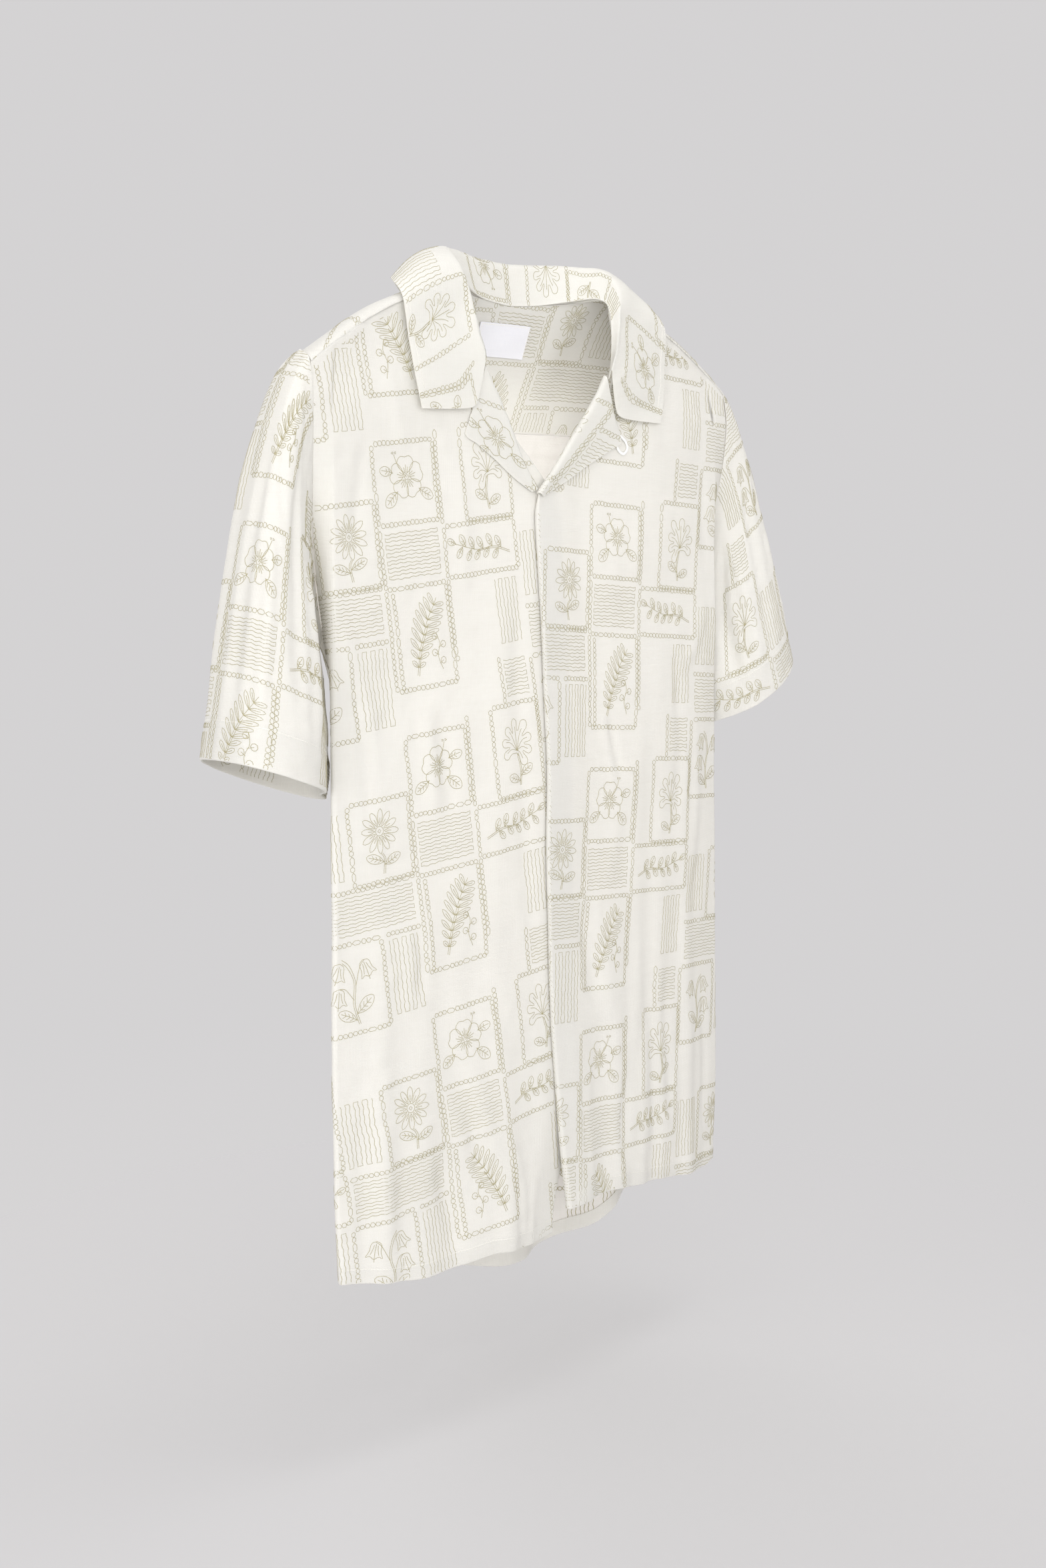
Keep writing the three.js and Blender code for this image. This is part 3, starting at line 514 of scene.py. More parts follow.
def shell(name, G, N, thick, mats, closed=False, uv=None):
    """a thin closed shell of cloth on both sides of a grid; N points to its right side"""
    R, C = G.shape[:2]
    raw = normals(G, closed)
    same = float((raw * N).sum()) > 0
    A, B = G + N * thick / 2, G - N * thick / 2
    verts = np.concatenate([A.reshape(-1, 3), B.reshape(-1, 3)])
    last = C if closed else C - 1
    j, i = np.meshgrid(np.arange(R - 1), np.arange(last), indexing='ij'); j, i = j.ravel(), i.ravel(); i1 = (i + 1) % C
    o = lambda jj, ii: jj * C + ii; n = R * C
    q = np.stack([o(j, i), o(j + 1, i), o(j + 1, i1), o(j, i1)], -1)
    outer, inner = (q, q[:, ::-1] + n) if same else (q[:, ::-1], q + n)
    rim = []
    ii = np.arange(last); jj = np.arange(R - 1)
    e1 = np.stack([o(0 * ii, ii), o(0 * ii, (ii + 1) % C), o(0 * ii, (ii + 1) % C) + n, o(0 * ii, ii) + n], -1)
    e2 = np.stack([o(R - 1 + 0 * ii, ii), o(R - 1 + 0 * ii, ii) + n, o(R - 1 + 0 * ii, (ii + 1) % C) + n, o(R - 1 + 0 * ii, (ii + 1) % C)], -1)
    rim += [e1, e2]
    if not closed:
        rim += [np.stack([o(jj, 0 * jj), o(jj, 0 * jj) + n, o(jj + 1, 0 * jj) + n, o(jj + 1, 0 * jj)], -1),
                np.stack([o(jj, 0 * jj + C - 1), o(jj + 1, 0 * jj + C - 1), o(jj + 1, 0 * jj + C - 1) + n, o(jj, 0 * jj + C - 1) + n], -1)]
    rim = np.concatenate(rim)
    if not same:
        rim = rim[:, ::-1]
    quads = np.concatenate([outer, inner, rim])
    index = np.concatenate([np.zeros(len(outer)), np.full(len(inner), 1 if len(mats) > 1 else 0), np.zeros(len(rim))])
    edge = np.zeros((2, R, C), int)
    for s in range(2):
        edge[s, 0, :] = edge[s, -1, :] = s + 1
        if not closed:
            edge[s, :, 0] = edge[s, :, -1] = s + 1
    return new_mesh(name, verts, quads, mats, index, edge.ravel())


class Panel:
    """a grid of cloth with flat cloth coordinates s (across) and t (down), in millimetres"""

    def __init__(self, G, N, S, T, thick=CLOTH):
        self.G, self.N, self.S, self.T, self.thick = G, N, S, T, thick

    def locate(self, st):
        R, C = self.S.shape
        kr, kc = max(1, R // 40), max(1, C // 40)
        cs, ct = self.S[::kr, ::kc], self.T[::kr, ::kc]
        jj, ii = np.meshgrid(np.arange(0, R, kr), np.arange(0, C, kc), indexing='ij')
        flat = np.stack([cs.ravel(), ct.ravel()], -1)
        v = np.zeros(len(st)); u = np.zeros(len(st))
        for a in range(0, len(st), 4000):
            d = ((st[a:a + 4000, None, :] - flat[None]) ** 2).sum(-1).argmin(1)
            v[a:a + 4000], u[a:a + 4000] = jj.ravel()[d], ii.ravel()[d]
        for _ in range(12):
            s0, ds = self.interp(self.S, v, u), self.slopes(self.S, v, u)
            t0, dt = self.interp(self.T, v, u), self.slopes(self.T, v, u)
            es, et = st[:, 0] - s0, st[:, 1] - t0
            det = ds[0] * dt[1] - ds[1] * dt[0]; det = np.where(np.abs(det) < 1e-6, 1e-6, det)
            dv = np.clip((es * dt[1] - et * ds[1]) / det, -8, 8); du = np.clip((ds[0] * et - dt[0] * es) / det, -8, 8)
            v, u = np.clip(v + dv, 0, R - 1), np.clip(u + du, 0, C - 1)
        s0, t0 = self.interp(self.S, v, u), self.interp(self.T, v, u)
        ok = np.hypot(st[:, 0] - s0, st[:, 1] - t0) < 0.25
        return v, u, ok

    def cell(self, v, u):
        R, C = self.S.shape
        j = np.clip(np.floor(v).astype(int), 0, R - 2); i = np.clip(np.floor(u).astype(int), 0, C - 2)
        return j, i, v - j, u - i

    def interp(self, F, v, u):
        j, i, a, b = self.cell(v, u)
        if F.ndim == 3:
            a, b = a[:, None], b[:, None]
        return F[j, i] * (1 - a) * (1 - b) + F[j + 1, i] * a * (1 - b) + F[j, i + 1] * (1 - a) * b + F[j + 1, i + 1] * a * b

    def slopes(self, F, v, u):
        j, i, a, b = self.cell(v, u)
        return ((F[j + 1, i] - F[j, i]) * (1 - b) + (F[j + 1, i + 1] - F[j, i + 1]) * b,
                (F[j, i + 1] - F[j, i]) * (1 - a) + (F[j + 1, i + 1] - F[j + 1, i]) * a)


def thread(name, panel, lines, mat, face=1, half=THREAD_W, high=THREAD_H, keep=None, base=0.02):
    """raised thread laid along flat polylines, ridged along its middle"""
    st = np.concatenate(lines); ids = np.concatenate([np.full(len(l), k) for k, l in enumerate(lines)])
    lo, hi = (panel.S.min() - 1, panel.T.min() - 1), (panel.S.max() + 1, panel.T.max() + 1)
    box = (st[:, 0] > lo[0]) & (st[:, 0] < hi[0]) & (st[:, 1] > lo[1]) & (st[:, 1] < hi[1])
    st, ids, order = st[box], ids[box], np.flatnonzero(box)
    if not len(st):
        return None
    v, u, ok = panel.locate(st)
    P, N = panel.interp(panel.G, v, u), unit(panel.interp(panel.N, v, u)) * face
    if keep is not None:
        ok &= keep(P, st)
    link = (ids[1:] == ids[:-1]) & (np.diff(order) == 1) & ok[1:] & ok[:-1]
    link &= np.linalg.norm(np.diff(P, axis=0), axis=1) < 9
    seg = np.flatnonzero(link)
    if not len(seg):
        return None
    tan = np.zeros_like(P); d = P[seg + 1] - P[seg]
    d = unit(d)
    np.add.at(tan, seg, d); np.add.at(tan, seg + 1, d)
    tan = unit(tan)
    side = unit(np.cross(N, tan))
    top = P + N * (panel.thick / 2 + base)
    # every stitch is a little fuller in its middle: the run along the thread drives the stitch bump, its painted
    # highlight in the middle and painted shade at its ends
    run = np.concatenate([[0], np.cumsum(np.linalg.norm(np.diff(st, axis=0), axis=1))])
    V = np.stack([top - side * half - N * 0.04, top + N * high, top + side * half - N * 0.04], 1)
    used = np.zeros(len(P), bool); used[seg] = used[seg + 1] = True
    new = np.cumsum(used) - 1
    verts = V[used].reshape(-1, 3)
    uv = np.stack([np.repeat(run[used], 3), np.tile([0.0, 0.5, 1.0], used.sum())], -1)
    a, b = new[seg] * 3, new[seg + 1] * 3
    quads = np.concatenate([np.stack([a, b, b + 1, a + 1], -1), np.stack([a + 1, b + 1, b + 2, a + 2], -1)])
    # faces point away from the cloth
    p = verts[quads[0]]
    n0 = np.cross(p[1] - p[0], p[2] - p[0])
    k = int(np.argmin(np.linalg.norm(V[:, 1] - p[:, None].mean(0)[0], axis=1)))
    if n0 @ N[k] < 0:
        quads = quads[:, ::-1]
    ob = new_mesh(name, verts, quads, [mat], uv=uv)
    return ob


# ---------- embroidery design: stitched frames, wavy fills, blanks and plain botanical figures ----------
TILE_W, TILE_H = 228.0, 212.0
# upright strips: left side, shift down, then the cells with their place, size, figure and stitched edges
STRIPS = [
    (0, 0, [(0, 0, 56, 66, 'bell', 'TLBR'), (58, 0, 34, 66, 'cols', 'T'), (0, 68, 50, 42, 'blank', ''), (50, 66, 42, 46, 'blank', ''),
            (0, 112, 36, 58, 'cols', ''), (38, 112, 54, 60, 'daisy', 'TLBR'), (0, 174, 92, 36, 'rows', 'T')]),
    (94, -36, [(0, 0, 58, 74, 'frond', 'TLBRD'), (0, 76, 58, 32, 'blank', ''), (0, 108, 58, 58, 'rose', 'TLBR'),
               (0, 168, 58, 44, 'rows', 'L')]),
    (154, 24, [(0, 0, 38, 40, 'blank', ''), (40, 2, 32, 36, 'rows', 'L'), (0, 40, 24, 70, 'blank', 'L'), (24, 40, 50, 70, 'split', 'TLBR'),
               (0, 112, 74, 38, 'sprig', 'TLBR'), (0, 150, 40, 62, 'blank', 'L'), (42, 152, 32, 58, 'cols', '')]),
]


def catmull(p, step=1.8, closed=False):
    p = np.array(p, float)
    if closed:
        q = np.concatenate([p[-1:], p, p[:2]])
    else:
        q = np.concatenate([[2 * p[0] - p[1]], p, [2 * p[-1] - p[-2]]])
    t = np.linspace(0, 1, 9)[:-1][:, None]
    out = []
    for i in range(1, len(q) - 2):
        a, b, c, d = q[i - 1], q[i], q[i + 1], q[i + 2]
        out.append(0.5 * (2 * b + (c - a) * t + (2 * a - 5 * b + 4 * c - d) * t ** 2 + (3 * b - a - 3 * c + d) * t ** 3))
    out.append(q[-2][None])
    out = np.concatenate(out)
    n = max(3, int(arc(out)[-1] / step))
    return at_run(out, np.linspace(0, arc(out)[-1], n + 1))


def drop(base, ang, length, width, pts=0, notch=0.0):
    """outline of a petal or leaflet from its base"""
    prof = [(0, 0), (0.28, 0.36), (0.62, 0.5), (0.9, 0.28), (1 - notch, 0), (0.9, -0.28), (0.62, -0.5), (0.28, -0.36), (0, 0)]
    c, s = math.cos(ang), math.sin(ang)
    p = [(base[0] + (a * length) * c - (b * width) * s, base[1] + (a * length) * s + (b * width) * c) for a, b in prof]
    return p


def leaf(base, ang, length, width, veins=3):
    """a leaf: outline, midrib and short side veins"""
    c, s = math.cos(ang), math.sin(ang)
    at = lambda a, b: (base[0] + a * c - b * s, base[1] + a * s + b * c)
    out = [drop(base, ang, length, width), [at(-.05 * length, 0), at(.4 * length, .4), at(.86 * length, 0)]]
    for k in range(veins):
        a = (.2 + .2 * k) * length
        out += [[at(a, 0), at(a + .13 * length, .3 * width)], [at(a, 0), at(a + .13 * length, -.3 * width)]]
    return out


def ring(x, y, r, n=8):
    return [(x + r * math.cos(6.2832 * k / n), y + r * math.sin(6.2832 * k / n)) for k in range(n + 1)]


def motif(kind, w, h):
    """polylines of a figure in a w by h cell; the origin is its centre, y up"""
    L = []
    u = math.pi / 180
    if kind == 'bell':
        L += [[(-.04 * w, -.46 * h), (.02 * w, -.2 * h), (-.03 * w, .08 * h), (.04 * w, .3 * h), (.16 * w, .4 * h)],
              [(-.01 * w, -.46 * h), (.05 * w, -.2 * h), (.0 * w, .08 * h), (.07 * w, .27 * h), (.16 * w, .36 * h)]]
        for cx, cy, a in ((.24 * w, .26 * h, -70), (-.24 * w, .24 * h, -108), (.28 * w, -.06 * h, -82)):
            c, s = math.cos(a * u), math.sin(a * u); r = lambda x, y: (cx + x * c - y * s, cy + x * s + y * c)
            L.append([r(-6, 0), r(-4, 4), r(2, 4.6), r(7, 7), r(5.6, 3.5), r(8, 0), r(5.6, -3.5), r(7, -7), r(2, -4.6), r(-4, -4), r(-6, 0)])
            L += [[r(-4, 0), r(3, 0), r(10, .6)], [r(-3, 1.5), r(1, 2.2), r(4.6, 3.4)], [r(-3, -1.5), r(1, -2.2), r(4.6, -3.4)]]
        L += [[(-.03 * w, .04 * h), (-.14 * w, .26 * h), (-.22 * w, .33 * h)], [(.03 * w, -.14 * h), (.16 * w, .02 * h), (.26 * w, .04 * h)]]
        L += leaf((.0 * w, -.32 * h), 146 * u, .38 * w, 9) + leaf((.02 * w, -.4 * h), 30 * u, .34 * w, 8)
    if kind == 'daisy':
        cx, cy = .03 * w, .14 * h
        L += [ring(cx, cy, 3.6), ring(cx, cy, 1.5, 5)]
        for k in range(12):
            a = (k * 30 + 6) * u
            L.append(drop((cx + 4.2 * math.cos(a), cy + 4.2 * math.sin(a)), a, 11.5 + 1.5 * hash01(k), 4.6))
            L.append([(cx + 6 * math.cos(a), cy + 6 * math.sin(a)), (cx + 10 * math.cos(a), cy + 10 * math.sin(a))])
        L += [[(cx, cy - 16), (-.03 * w, -.26 * h), (.0 * w, -.47 * h)], [(cx + 1.5, cy - 16), (.0 * w, -.26 * h), (.03 * w, -.47 * h)]]
        L += leaf((-.01 * w, -.34 * h), 160 * u, .34 * w, 7) + leaf((.01 * w, -.3 * h), 22 * u, .34 * w, 7)
    if kind == 'frond':
        spine = [(-.3 * w, -.42 * h), (-.18 * w, -.14 * h), (.03 * w, .14 * h), (.3 * w, .4 * h)]
        L.append(spine); L.append([(x + 1.4, y - .7) for x, y in spine[:3]])
        S = catmull(spine, 5.6)
        for k in range(1, len(S) - 1):
            d = S[k + 1] - S[k - 1]; a = math.atan2(d[1], d[0]); s = math.sin(math.pi * k / len(S)) * 12 + 4
            for g in (1, -1):
                b = a + g * 56 * u
                L.append(drop(S[k], b, s, 3.4))
                L.append([tuple(S[k]), (S[k][0] + .7 * s * math.cos(b), S[k][1] + .7 * s * math.sin(b))])
        L.append([(.28 * w, -.4 * h), (.2 * w, -.24 * h), (.26 * w, -.1 * h), (.2 * w, .02 * h)])
        for cx, cy in ((.31 * w, -.3 * h), (.13 * w, -.2 * h), (.34 * w, -.12 * h), (.17 * w, -.02 * h)):
            L += [ring(cx, cy, 2.6, 7), [(cx, cy), (.22 * w, cy - 2)]]
    if kind == 'sprig':
        stem = [(-.44 * w, -.18 * h), (-.2 * w, -.02 * h), (.08 * w, -.04 * h), (.4 * w, .16 * h)]
        L += [stem, [(x, y - 1.3) for x, y in stem[:3]]]
        for k, (x, y) in enumerate(catmull(stem, 9.5)[1:-1]):
            L += leaf((x, y), (62 + 7 * hash01(k)) * u, 10.5, 5.4, 2)
            L += leaf((x + 3, y), (-48 - 9 * hash01(k, 3)) * u, 9.5, 5, 2)
        L += leaf((.4 * w, .16 * h), 24 * u, 9, 5, 2)
    if kind == 'rose':
        cx, cy = -.03 * w, .07 * h
        for k in range(5):
            a = (90 + 72 * k) * u
            L.append(drop((cx + 2.4 * math.cos(a), cy + 2.4 * math.sin(a)), a, 14, 15, notch=.14))
            for b, r in ((a, 9), (a + 15 * u, 7.5), (a - 15 * u, 7.5)):
                L.append([(cx + 3.4 * math.cos(b), cy + 3.4 * math.sin(b)), (cx + r * math.cos(b), cy + r * math.sin(b))])
        L.append(ring(cx, cy, 1.9, 6))
        L += [[(cx, cy), (cx + 7, cy + 9), (cx + 10, cy + 17)]] + [ring(cx + 10 + g, cy + 18, 1.1, 5) for g in (-1.4, 1.4)]
        L += leaf((cx + 10, cy - 10), -40 * u, .3 * w, 9) + leaf((cx - 11, cy - 9), 212 * u, .28 * w, 8) + leaf((cx + 13, cy + 4), 14 * u, .24 * w, 7, 2)
    if kind == 'split':
        # broad leaf with deep splits on a curved stem
        cx, cy, R = -.02 * w, .06 * h, .36 * w
        out = [(cx, cy - 7)]
        for k in range(8):
            a = (-62 + k * 38) * u if k < 4 else (-62 + k * 38 + 4) * u
            r = R * (1.15 if k in (3, 4) else 1.0) * (.9 + .15 * hash01(k, 9))
            for da, f in ((-15, .6), (-12, .98), (0, 1.12), (12, .98), (15, .6)):
                out.append((cx + f * r * math.cos(a + da * u), cy + 1.12 * f * r * math.sin(a + da * u)))
        out.append((cx, cy - 7))
        L.append(out)
        for k in range(8):
            a = (-62 + k * 38) * u
            L.append([(cx, cy - 5), (cx + .45 * R * math.cos(a), cy + .5 * R * math.sin(a)), (cx + .8 * R * math.cos(a), cy + .9 * R * math.sin(a))])
        L += [[(cx, cy - 7), (.03 * w, -.26 * h), (-.02 * w, -.46 * h)], [(cx + 1.6, cy - 7), (.06 * w, -.26 * h), (.01 * w, -.46 * h)]]
        L += leaf((.04 * w, -.34 * h), 32 * u, .32 * w, 7) + leaf((.0 * w, -.4 * h), 158 * u, .32 * w, 7)
    return [catmull(p, 1.9) for p in L]


def chain(p0, p1, seed, pitch=4.0, L=4.0, W=3.3):
    """a line of open stitched links"""
    p0, p1 = np.array(p0, float), np.array(p1, float); d = p1 - p0; n = max(1, int(round(np.linalg.norm(d) / pitch)))
    e = d / np.linalg.norm(d); f = np.array([-e[1], e[0]]); out = []
    link = [(-.5, 0), (-.26, .46), (.24, .48), (.5, .04), (.27, -.44), (-.22, -.5), (-.5, 0)]
    k = 0
    while k < n:
        big = hash01(seed, k) > .9 and k < n - 1
        ln, c = (L * 1.8, k + 1) if big else (L, k + .5)
        m = p0 + d * c / n + f * (hash01(seed, k + 50) - .5) * .6
        w = W * (.86 + .28 * hash01(seed, k + 90))
        out.append(np.array([m + e * a * ln + f * b * w for a, b in link]))
        k += 2 if big else 1
    return out


def fill_rows(x0, y0, w, h, pitch, seed, upright=False):
    """one wavy line sewn to and fro, with looped ends"""
    if upright:
        return [l[:, ::-1] for l in fill_rows(y0, x0, h, w, pitch, seed)]
    pts = []
    n = int((h - 4) / pitch)
    for k in range(n + 1):
        y = y0 + 2 + k * pitch
        xs = np.linspace(x0 + 2.2, x0 + w - 2.2, max(3, int(w / 2.1)))
        ph = 6.3 * hash01(seed, k // 3)
        row = np.stack([xs, y + .42 * np.sin(xs * 6.283 / 7.3 + ph) + .3 * np.sin(xs / 5.1 + 3 * ph + k)], -1)
        pts.append(row if k % 2 == 0 else row[::-1])
    return [np.concatenate(pts)]


def design(box, offset, lean, flip=False):
    """all polylines of the design over a box (s0, t0, s1, t1)"""
    c, s = math.cos(lean), math.sin(lean)
    s0, t0, s1, t1 = box; mid = np.array([(s0 + s1) / 2, (t0 + t1) / 2])
    reach = math.hypot(s1 - s0, t1 - t0) / 2 + 8
    frames, fills, figures = [], [], []
    i0, i1 = math.floor((-reach - TILE_W) / TILE_W), math.ceil((reach + TILE_W) / TILE_W)
    off = np.array(offset, float)

    def place(p):
        p = p.copy()
        if flip:
            p[:, 0] = -p[:, 0]
        q = p - np.array([TILE_W / 2, TILE_H / 2]) * (np.array([-1, 1]) if flip else 1) + off
        return np.stack([q[:, 0] * c - q[:, 1] * s, q[:, 0] * s + q[:, 1] * c], -1) + mid

    def near(x, y, w, h):
        q = place(np.array([[x, y], [x + w, y], [x, y + h], [x + w, y + h]], float))
        return q[:, 0].max() > s0 and q[:, 0].min() < s1 and q[:, 1].max() > t0 and q[:, 1].min() < t1

    for a in range(i0, i1 + 1):
        for b in range(math.floor((-reach - TILE_H) / TILE_H) - 1, math.ceil((reach + TILE_H) / TILE_H) + 2):
            X, Y = a * TILE_W, b * TILE_H + (a % 2) * 31
            seed = (a * 7 + b * 13) % 97 + 3
            for sx, sy, cells in STRIPS:
                for x, y, w, h, kind, edges in cells:
                    x, y = X + sx + x, Y + sy + y
                    if not near(x, y, w, h):
                        continue
                    k = seed + int(w + 3 * h) + sx
                    if 'T' in edges:
                        frames += [place(l) for l in chain((x + 2, y), (x + w - 1, y), k)]
                    if 'B' in edges:
                        frames += [place(l) for l in chain((x + 2, y + h), (x + w - 1, y + h), k + 5)]
                    if 'L' in edges:
                        frames += [place(l) for l in chain((x, y + 1), (x, y + h), k + 9)]
                    if 'R' in edges:
                        frames += [place(l) for l in chain((x + w - 1, y + 2), (x + w - 1, y + h), k + 7)]
                    if 'D' in edges:
                        frames += [place(l) for l in chain((x + 6, y + 3), (x + 6, y + h), k + 11)]
                    if kind == 'rows':
                        fills += [place(l) for l in fill_rows(x + 2, y + 2.5, w - 4, h - 5, 2.7, seed)]
                    elif kind == 'cols':
                        fills += [place(l) for l in fill_rows(x + 2, y + 2.5, w - 4, h - 5, 3.7, seed, True)]
                    elif kind != 'blank':
                        turn = -1 if hash01(seed, sx) > .5 else 1
                        inset = 8 if 'D' in edges else 0
                        for l in motif(kind, w - 8 - inset, h - 8):
                            figures.append(place(np.stack([x + inset / 2 + w / 2 + turn * l[:, 0], y + h / 2 - l[:, 1]], -1)))
    return frames, fills, figures


# ---------- materials ----------
def nodes_of(name):
    m = bpy.data.materials.new(name); m.use_nodes = True
    nt = m.node_tree; nt.nodes.clear()
    return m, nt, lambda t, **k: _node(nt, t, k)


def _node(nt, kind, k):
    n = nt.nodes.new(kind)
    for a, v in k.items():
        if a.startswith('in_'):
            n.inputs[int(a[3:]) if a[3:].isdigit() else a[3:].replace('_', ' ')].default_value = v
        else:
            setattr(n, a, v)
    return n


def cloth_material(name, colour, dark, through=0.36, weave=1.0, sheen=0.18):
    m, nt, new = nodes_of(name)
    link = nt.links.new
    tc = new('ShaderNodeTexCoord')
    # uneven yarn: long soft streaks both ways
    warp = new('ShaderNodeMapping'); warp.inputs['Scale'].default_value = (900, 900, 45)
    weft = new('ShaderNodeMapping'); weft.inputs['Scale'].default_value = (45, 45, 900)
    n1 = new('ShaderNodeTexNoise', in_Scale=1.0, in_Detail=2.0); n2 = new('ShaderNodeTexNoise', in_Scale=1.0, in_Detail=2.0)
    soft = new('ShaderNodeTexNoise', in_Scale=9.0, in_Detail=3.0)
    link(tc.outputs['Object'], warp.inputs['Vector']); link(tc.outputs['Object'], weft.inputs['Vector'])
    link(warp.outputs['Vector'], n1.inputs['Vector']); link(weft.outputs['Vector'], n2.inputs['Vector'])
    link(tc.outputs['Object'], soft.inputs['Vector'])
    # plain weave: two crossed sets of yarn
    w1 = new('ShaderNodeTexWave', in_Scale=330.0, in_Distortion=1.2, in_Detail=1.0); w1.bands_direction = 'X'
    w2 = new('ShaderNodeTexWave', in_Scale=330.0, in_Distortion=1.2, in_Detail=1.0); w2.bands_direction = 'Z'
    link(tc.outputs['Object'], w1.inputs['Vector']); link(tc.outputs['Object'], w2.inputs['Vector'])
    add = new('ShaderNodeMath', operation='ADD'); link(w1.outputs[1], add.inputs[0]); link(w2.outputs[1], add.inputs[1])
    yarn = new('ShaderNodeMath', operation='ADD'); link(n1.outputs[0], yarn.inputs[0]); link(n2.outputs[0], yarn.inputs[1])
    tone = new('ShaderNodeMath', operation='MULTIPLY_ADD', in_1=0.5, in_2=0.0); link(yarn.outputs[0], tone.inputs[0])
    ramp = new('ShaderNodeMapRange', in_1=0.36, in_2=0.64, in_3=0.0, in_4=1.0); link(tone.outputs[0], ramp.inputs[0])
    half = new('ShaderNodeMath', operation='MULTIPLY_ADD', in_1=0.6, in_2=0.0); link(ramp.outputs[0], half.inputs[0])
    both = new('ShaderNodeMath', operation='MULTIPLY_ADD', in_1=0.4, in_2=0.0); link(soft.outputs[0], both.inputs[0])
    sum_ = new('ShaderNodeMath', operation='ADD'); link(half.outputs[0], sum_.inputs[0]); link(both.outputs[0], sum_.inputs[1])
    col = new('ShaderNodeMix', data_type='RGBA')
    col.inputs[6].default_value = (*dark, 1); col.inputs[7].default_value = (*colour, 1)
    link(sum_.outputs[0], col.inputs[0])
    height = new('ShaderNodeMath', operation='MULTIPLY_ADD', in_1=0.5); link(add.outputs[0], height.inputs[0]); link(yarn.outputs[0], height.inputs[2])
    bmp = new('ShaderNodeBump', in_Strength=0.35 * weave, in_Distance=0.0003); link(height.outputs[0], bmp.inputs['Height'])
    bsdf = new('ShaderNodeBsdfPrincipled')
    bsdf.inputs['Roughness'].default_value = 0.86
    bsdf.inputs['Specular IOR Level'].default_value = 0.22
    bsdf.inputs['Sheen Weight'].default_value = sheen
    bsdf.inputs['Sheen Roughness'].default_value = 0.5
    link(col.outputs[2], bsdf.inputs['Base Color']); link(bmp.outputs[0], bsdf.inputs['Normal'])
    out = new('ShaderNodeOutputMaterial')
    if through:
        tr = new('ShaderNodeBsdfTranslucent'); link(col.outputs[2], tr.inputs['Color']); link(bmp.outputs[0], tr.inputs['Normal'])
        mx = new('ShaderNodeMixShader'); mx.inputs[0].default_value = through
        link(bsdf.outputs[0], mx.inputs[1]); link(tr.outputs[0], mx.inputs[2]); link(mx.outputs[0], out.inputs[0])
    else:
        link(bsdf.outputs[0], out.inputs[0])
    return m


def thread_material(name, colour, dark, pitch=1.9):
    """stitched thread: each stitch painted lighter in its middle and darker at its ends (painted highlight, and painted
    shade where it dips into the cloth), fine twist along it
    """
    m, nt, new = nodes_of(name); link = nt.links.new
    uv = new('ShaderNodeUVMap', uv_map='run'); sep = new('ShaderNodeSeparateXYZ'); link(uv.outputs[0], sep.inputs[0])
    k = new('ShaderNodeMath', operation='MULTIPLY', in_1=math.pi / pitch); link(sep.outputs[0], k.inputs[0])
    sn = new('ShaderNodeMath', operation='SINE'); link(k.outputs[0], sn.inputs[0])
    ab = new('ShaderNodeMath', operation='ABSOLUTE'); link(sn.outputs[0], ab.inputs[0])
    tc = new('ShaderNodeTexCoord'); no = new('ShaderNodeTexNoise', in_Scale=160.0, in_Detail=2.0); link(tc.outputs['Object'], no.inputs['Vector'])
    # the place along each stitch sets a painted highlight in its middle and painted shade at its ends; the noise below
    # adds a random tone
    mr = new('ShaderNodeMapRange', in_1=0.0, in_2=0.7, in_3=0.35, in_4=1.0); link(ab.outputs[0], mr.inputs[0])
    mm = new('ShaderNodeMath', operation='MULTIPLY'); link(mr.outputs[0], mm.inputs[0])
    nr = new('ShaderNodeMapRange', in_1=0.3, in_2=0.7, in_3=0.7, in_4=1.0); link(no.outputs[0], nr.inputs[0]); link(nr.outputs[0], mm.inputs[1])
    col = new('ShaderNodeMix', data_type='RGBA'); col.inputs[6].default_value = (*dark, 1); col.inputs[7].default_value = (*colour, 1)
    link(mm.outputs[0], col.inputs[0])
    bmp = new('ShaderNodeBump', in_Strength=0.5, in_Distance=0.0003); link(ab.outputs[0], bmp.inputs['Height'])
    b = new('ShaderNodeBsdfPrincipled'); b.inputs['Roughness'].default_value = 0.5
    b.inputs['Sheen Weight'].default_value = 0.25; b.inputs['Sheen Roughness'].default_value = 0.4
    link(col.outputs[2], b.inputs['Base Color']); link(bmp.outputs[0], b.inputs['Normal'])
    out = new('ShaderNodeOutputMaterial'); link(b.outputs[0], out.inputs[0])
    return m


CREAM = (0.90, 0.892, 0.855)
M_CLOTH = cloth_material('cream_cotton', CREAM, (0.872, 0.86, 0.815))
# inner faces take a slightly darker, pinker copy of the cream cotton: painted shade of the hollow inside
M_INSIDE_SHADED = cloth_material('cream_cotton_inside_painted_shade', (0.90, 0.88, 0.855), (0.865, 0.845, 0.815))
M_LABEL = cloth_material('white_satin', (0.79, 0.79, 0.82), (0.76, 0.76, 0.80), through=0.0, weave=0.5, sheen=0.3)
M_CORD = cloth_material('white_cord', (0.92, 0.92, 0.91), (0.85, 0.85, 0.83), through=0.0, weave=1.0)
M_THREAD = thread_material('sage_thread', (0.42, 0.38, 0.225), (0.25, 0.22, 0.115))
M_SEW = thread_material('cream_thread', (0.84, 0.82, 0.76), (0.66, 0.64, 0.58), 2.4)


